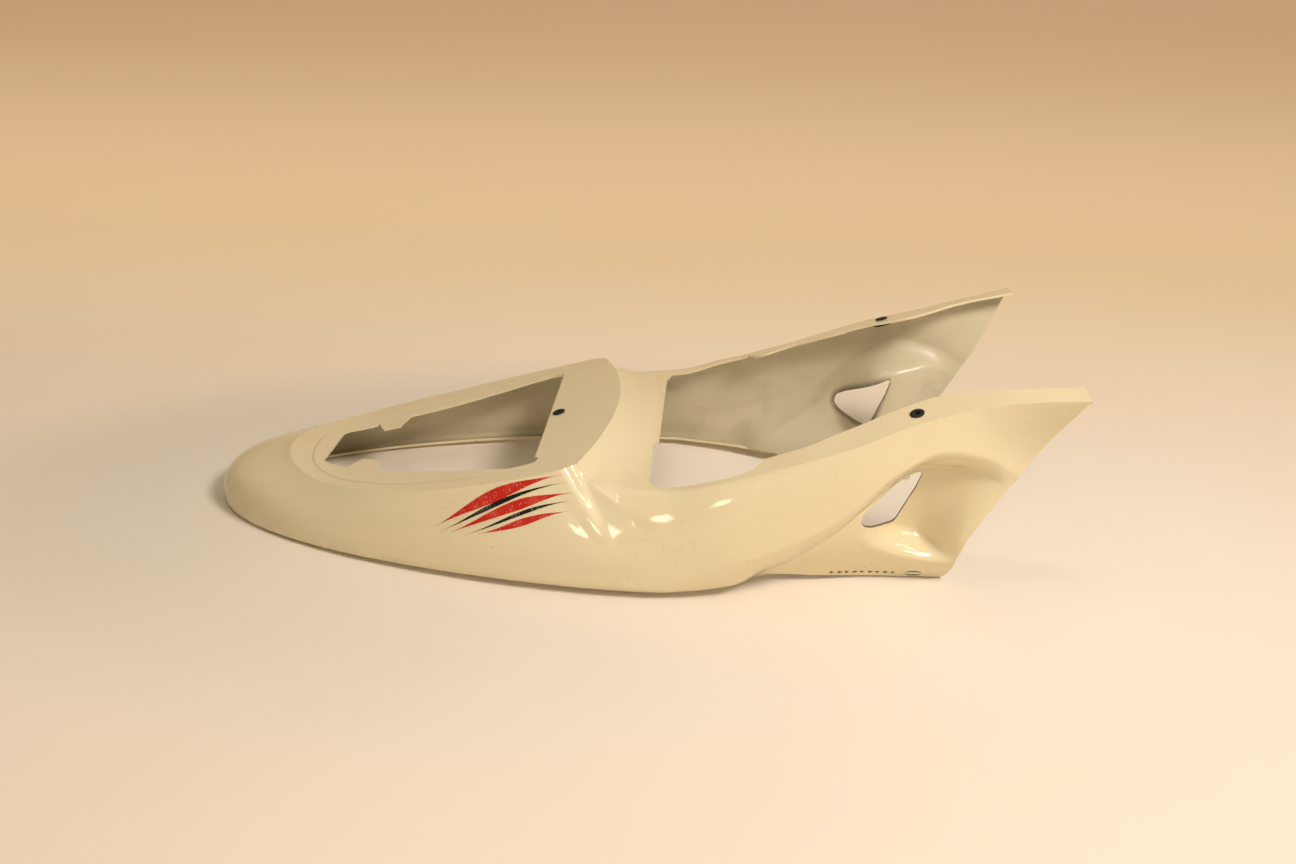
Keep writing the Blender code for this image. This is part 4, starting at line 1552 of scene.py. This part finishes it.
@dataclass
class Grommets:
    """The rubber grommets: one turned ring, placed on each pad."""

    skin: TailSkin
    bore: float = 0.0022
    waist: float = 0.0040
    top_lip: float = 0.0054
    under_lip: float = 0.0088
    top_height: float = 0.0010
    under_height: float = 0.0022
    rounding: float = 0.00045
    waist_share: float = 0.1
    clearance: float = 0.0003
    sides: int = 64
    corner_steps: int = 4
    finish: GrommetRubber = GrommetRubber()

    def _ring(
        self,
        nodes: NodeBuilder,
        outer: bpy.types.NodeSocket,
        low: float,
        high: float,
        rounding: bpy.types.NodeSocket,
    ) -> bpy.types.NodeSocket:
        """Ring from the bore to an outer radius, between two heights."""
        bore = nodes.entry.outputs["Bore"]
        width = nodes.math("SUBTRACT", outer, bore)
        middle = nodes.math("MULTIPLY", nodes.math("ADD", outer, bore), 0.5)
        size = {"Width": width, "Height": high - low}
        profile = nodes.node("GeometryNodeCurvePrimitiveQuadrilateral", None, size)
        corners = {"Curve": profile.outputs[0], "Count": self.corner_steps, "Radius": rounding}
        soft = nodes.node("GeometryNodeFilletCurve", {"mode": "POLY"}, corners)
        path = {"Resolution": nodes.entry.outputs["Sides"], "Radius": middle}
        circle = nodes.node("GeometryNodeCurvePrimitiveCircle", None, path)
        sweep = {0: circle.outputs[0], 1: soft.outputs[0]}
        swept = nodes.node("GeometryNodeCurveToMesh", None, sweep)
        lift = {"Geometry": swept.outputs[0], "Translation": (0.0, 0.0, (low + high) / 2)}
        return nodes.node("GeometryNodeTransform", None, lift).outputs[0]

    def build(self) -> bpy.types.Object:
        """Build the grommets and put them in the place of their CAD nodes.

        Returns:
            The piece.
        """
        frames = [self.skin.seat_frame()] + [self.skin.leg_frame(side) for side in Side]
        mesh = bpy.data.meshes.new("rubber_grommets")
        mesh.from_pydata([tuple(centre) for centre, _ in frames], [], [])
        pads = mesh.attributes.new("pad_normal", "FLOAT_VECTOR", "POINT")
        pads.data.foreach_set("vector", [c for _, normal in frames for c in normal])
        obj = mesh_object("rubber_grommets", mesh)

        nodes = NodeBuilder("grommet_on_each_pad")
        nodes.size("Bore", self.bore)
        nodes.size("Sides", self.sides)
        top = nodes.size("Top lip", self.top_lip)
        waist = nodes.size("Waist", self.waist)
        under = nodes.size("Under lip", self.under_lip)
        soft = nodes.size("Rounding", self.rounding)
        gap = self.clearance
        floor = -self.skin.wall - gap
        rings = [
            self._ring(nodes, top, gap, gap + self.top_height, soft),
            self._ring(nodes, waist, floor, gap, nodes.math("MULTIPLY", soft, self.waist_share)),
            self._ring(nodes, under, floor - self.under_height, floor, soft),
        ]
        joined = nodes.node("GeometryNodeJoinGeometry")
        for ring in rings:
            nodes.feed(joined.inputs[0], ring)
        kind, name = {"data_type": "FLOAT_VECTOR"}, {"Name": "pad_normal"}
        normal = nodes.node("GeometryNodeInputNamedAttribute", kind, name)
        facing = {"Vector": normal.outputs[0]}
        turn = nodes.node("FunctionNodeAlignRotationToVector", {"axis": "Z"}, facing)
        copies = {
            "Points": nodes.entry.outputs[0],
            "Instance": joined.outputs[0],
            "Rotation": turn.outputs[0],
        }
        spread = nodes.node("GeometryNodeInstanceOnPoints", None, copies)
        nodes.finish(spread.outputs[0], self.finish.make(), obj)
        shade(obj)
        seat(obj)
        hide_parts("seat_grommet", "right_leg_grommet", "left_leg_grommet")
        return obj


@dataclass(frozen=True)
class Stroke:
    """One tapering stroke of a printed mark, in the mark's own plane, in metres.

    Attributes:
        spine: The four points of the cubic that it follows.
        width: Its greatest width.
        full_at: Share of its length at which it is widest.
        tip: Share of its width that is left at its ends.
    """

    spine: tuple[Point2, ...]
    width: float
    full_at: float = 0.6
    tip: float = 0.02

    def outline(self, steps: int) -> list[tuple[Point2, Point2]]:
        """Lower and upper point at each step along the stroke."""
        a, b, c, d = (Vector(p) for p in self.spine)
        pairs = []
        for i in range(steps + 1):
            t = i / steps
            s = 1.0 - t
            here = a * s**3 + b * 3 * s * s * t + c * 3 * s * t * t + d * t**3
            run = (b - a) * 3 * s * s + (c - b) * 6 * s * t + (d - c) * 3 * t * t
            across = Vector((-run.y, run.x)).normalized()
            taper = ease(t / self.full_at if t < self.full_at else s / (1 - self.full_at))
            half = self.width / 2 * max(taper, self.tip)
            pairs.append((tuple(here - across * half), tuple(here + across * half)))
        return pairs


@dataclass
class FlankMark:
    """Generic printed streaks on the near flank, where the object has a sticker."""

    surface: Surface
    origin: Point2 = (-0.1300, 0.0460)
    lean: float = 11.0
    lift: float = 0.00012
    black_lift: float = 0.00022
    film: float = 0.00008
    steps: int = 48
    cells: int = 5
    red: StickerInk = StickerInk("red_ink", (0.56, 0.022, 0.014), (0.62, 0.07, 0.04))
    black: StickerInk = StickerInk("black_ink", (0.012, 0.011, 0.010), (0.05, 0.045, 0.04))
    reds: tuple[Stroke, ...] = (
        Stroke(metres((0, -2), (30, 10), (62, 24), (106, 26)), 0.0085, 0.55),
        Stroke(metres((12, -7), (40, 1), (72, 14), (112, 13)), 0.0070, 0.62),
        Stroke(metres((34, -9), (60, -7), (84, 2), (108, 1)), 0.0050, 0.5),
    )
    blacks: tuple[Stroke, ...] = (
        Stroke(metres((4, -6), (38, 6), (68, 20), (110, 20.5)), 0.0032, 0.5),
        Stroke(metres((24, -9), (50, -4), (78, 9), (111, 7.5)), 0.0026, 0.6),
    )

    def _lay(
        self, name: str, strokes: Iterable[Stroke], ink: StickerInk, lift: float
    ) -> bpy.types.Object:
        """Lay strokes on the flank as thin film.

        Args:
            name: Name of the piece.
            strokes: The strokes.
            ink: Their finish.
            lift: Height above the skin.

        Returns:
            The piece.
        """
        bm = bmesh.new()
        turn = Matrix.Rotation(math.radians(self.lean), 2)
        for stroke in strokes:
            rows = []
            for low, high in stroke.outline(self.steps):
                row = []
                for k in range(self.cells + 1):
                    at = turn @ Vector(low).lerp(Vector(high), k / self.cells)
                    at += Vector(self.origin)
                    row.append(bm.verts.new(self.surface.place(*at, lift)))
                rows.append(row)
            for a, b in zip(rows[:-1], rows[1:]):
                for k in range(self.cells):
                    bm.faces.new((a[k], b[k], b[k + 1], a[k + 1]))
        bmesh.ops.recalc_face_normals(bm, faces=bm.faces)
        piece = from_bmesh(name, bm)
        if piece.data.polygons[0].normal.y > 0:
            piece.data.flip_normals()
        thick = piece.modifiers.new("Film", "SOLIDIFY")
        thick.thickness = self.film
        thick.offset = 1.0
        freeze(piece)
        shade(piece)
        piece.data.materials.append(ink.make())
        seat(piece)
        return piece

    def build(self) -> list[bpy.types.Object]:
        """Build the red and the black streaks."""
        return [
            self._lay("flank_streaks_red", self.reds, self.red, self.lift),
            self._lay("flank_streaks_black", self.blacks, self.black, self.black_lift),
        ]


@dataclass
class LegMark(FlankMark):
    """Plain thin dashes at the foot of the near leg, where the object has a sticker."""

    origin: Point2 = (0.181, 0.0088)
    lean: float = -2.0
    grey: StickerInk = StickerInk("grey_ink", (0.045, 0.042, 0.035), (0.11, 0.10, 0.08))
    dash_count: int = 9
    dash_step: float = 0.0062
    dash_shares: Point2 = (0.66, 0.84)
    dash_width: float = 0.0026
    dash_full_at: float = 0.3
    ring_x: float = 0.068
    ring_size: Point2 = (0.0070, 0.0036)
    ring_width: float = 0.00156
    ring_full_at: float = 0.5

    @property
    def dashes(self) -> list[Stroke]:
        """A row of dashes and the two arcs of a plain oval behind it."""
        row = []
        for i in range(self.dash_count):
            start = i * self.dash_step
            end = start + self.dash_step * self.dash_shares[i % 2]
            spine = tuple((lerp(start, end, k / 3), 0.0) for k in range(4))
            row.append(Stroke(spine, self.dash_width, self.dash_full_at))
        half, high = self.ring_size
        rear, front = self.ring_x - half, self.ring_x + half
        for height in (high, -high):
            arc = ((rear, 0.0), (rear, height), (front, height), (front, 0.0))
            row.append(Stroke(arc, self.ring_width, self.ring_full_at))
        return row

    def build(self) -> list[bpy.types.Object]:
        """Build the dashes."""
        return [self._lay("leg_dashes", self.dashes, self.grey, self.lift)]


# Stage


@dataclass(frozen=True)
class Lamp:
    """A soft rectangular lamp.

    Attributes:
        name: Its name.
        place: Where it hangs.
        target: What it faces.
        size: Its width and height.
        power: Its power, in watts.
        colour: Its colour.
    """

    name: str
    place: Point3
    target: Point3
    size: Point2
    power: float
    colour: Colour

    def hang(self) -> None:
        """Add the lamp to the scene."""
        data = bpy.data.lights.new(self.name, "AREA")
        data.shape = "RECTANGLE"
        data.size, data.size_y = self.size
        data.energy = self.power
        data.color = self.colour
        lamp = bpy.data.objects.new(self.name, data)
        lamp.location = self.place
        facing = Vector(self.target) - Vector(self.place)
        lamp.rotation_euler = facing.to_track_quat("-Z", "Y").to_euler()
        bpy.context.scene.collection.objects.link(lamp)


@dataclass
class Studio:
    """Paper sweep, soft lamps and the camera at the photograph's place."""

    floor_reach: float = 6.0
    wall_y: float = 1.35
    bend: float = 0.45
    bend_steps: int = 16
    wall_height: float = 3.2
    sharp_angle: float = 60.0
    paper: PaperSweep = PaperSweep()

    image_width: float = 1296.0
    focal_pixels: float = 1150.0
    sensor: float = 36.0
    clip: Point2 = (0.01, 50.0)
    camera_place: Point3 = (0.075, -0.90352, 0.485)
    pitch: float = 0.4248548333287881
    yaw: float = -0.05191935812796851
    roll: float = -0.025813466680875537

    warm: Colour = (1.0, 0.86, 0.66)
    clear: Colour = (1.0, 0.90, 0.83)
    world_strength: float = 0.10
    middle: Point3 = (0.05, 0.0, 0.05)
    deck: Point3 = (0.20, -0.10, 0.15)
    leg: Point3 = (0.09, -0.14, 0.08)
    lamps: tuple[Lamp, ...] = (
        Lamp("key", (0.9, -0.75, 1.3), middle, (0.5, 0.4), 21.0, clear),
        Lamp("fill", (0.2, -1.8, 1.5), middle, (0.8, 0.6), 3.0, warm),
        Lamp("ceiling", (-0.2, 0.2, 2.4), middle, (1.6, 1.2), 5.2, warm),
        Lamp("front_strip", (0.29, -1.19, 1.23), middle, (0.016, 0.10), 0.5, warm),
        Lamp("top_strip", (-0.05, -0.57, 1.86), deck, (0.50, 0.05), 2.6, warm),
        Lamp("window", (-0.20, -1.54, 0.54), leg, (0.24, 0.26), 2.6, warm),
    )

    def sweep(self) -> bpy.types.Object:
        """Floor that curves up into the backdrop."""
        profile = [(-self.floor_reach, 0.0), (self.wall_y - self.bend, 0.0)]
        for i in range(1, self.bend_steps + 1):
            a = math.pi / 2 * i / self.bend_steps
            y = self.wall_y - self.bend + self.bend * math.sin(a)
            profile.append((y, self.bend * (1.0 - math.cos(a))))
        profile.append((self.wall_y, self.wall_height))
        bm = bmesh.new()
        ends = (-self.floor_reach, self.floor_reach)
        rows = [[bm.verts.new((x, y, z)) for x in ends] for y, z in profile]
        for a, b in zip(rows[:-1], rows[1:]):
            bm.faces.new((a[0], a[1], b[1], b[0]))
        bmesh.ops.recalc_face_normals(bm, faces=bm.faces)
        sweep = from_bmesh("paper_sweep", bm)
        if sweep.data.polygons[0].normal.z < 0:
            sweep.data.flip_normals()
        shade(sweep, self.sharp_angle)
        sweep.data.materials.append(self.paper.make())
        return sweep

    def light(self) -> None:
        """Hang the lamps and set the world's fill."""
        for lamp in self.lamps:
            lamp.hang()
        world = bpy.data.worlds.new("studio")
        world.use_nodes = True
        shader = world.node_tree.nodes["Background"]
        shader.inputs["Color"].default_value = (*self.warm, 1.0)
        shader.inputs["Strength"].default_value = self.world_strength
        bpy.context.scene.world = world

    def camera(self) -> None:
        """Place the camera where the photograph was taken."""
        data = bpy.data.cameras.new("photo_camera")
        data.sensor_fit = "HORIZONTAL"
        data.sensor_width = self.sensor
        data.lens = self.focal_pixels * self.sensor / self.image_width
        data.clip_start, data.clip_end = self.clip
        level = Vector((math.cos(self.yaw), -math.sin(self.yaw), 0.0))
        heading = Vector((math.sin(self.yaw), math.cos(self.yaw), 0.0))
        ahead = heading * math.cos(self.pitch) - Vector((0.0, 0.0, math.sin(self.pitch)))
        down = ahead.cross(level)
        right = level * math.cos(self.roll) + down * math.sin(self.roll)
        under = down * math.cos(self.roll) - level * math.sin(self.roll)
        turn = Matrix((right, -under, -ahead)).transposed().to_4x4()
        camera = bpy.data.objects.new("photo_camera", data)
        camera.matrix_world = Matrix.Translation(self.camera_place) @ turn
        bpy.context.scene.collection.objects.link(camera)
        bpy.context.scene.camera = camera

    def build(self) -> None:
        """Set up the stage."""
        self.sweep()
        self.light()
        self.camera()
        bpy.context.scene.view_settings.view_transform = "Standard"


def clear() -> None:
    """Remove what the start-up file holds."""
    for obj in list(bpy.data.objects):
        bpy.data.objects.remove(obj, do_unlink=True)


def report(pieces: Iterable[bpy.types.Object]) -> None:
    """Log each piece and its number of faces."""
    for piece in pieces:
        LOG.info("%s: %d faces", piece.name, len(piece.data.polygons))


def main() -> None:
    """Load the frame and dress it."""
    logging.basicConfig(level=logging.INFO, format="%(name)s %(message)s")
    clear()
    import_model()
    skin = TailSkin()
    shell = TailShell(skin, Openings(skin)).build()
    surface = Surface(shell)
    report([shell, Grommets(skin).build()])
    report(FlankMark(surface).build())
    report(LegMark(surface).build())
    Studio().build()


if __name__ == "__main__":
    main()
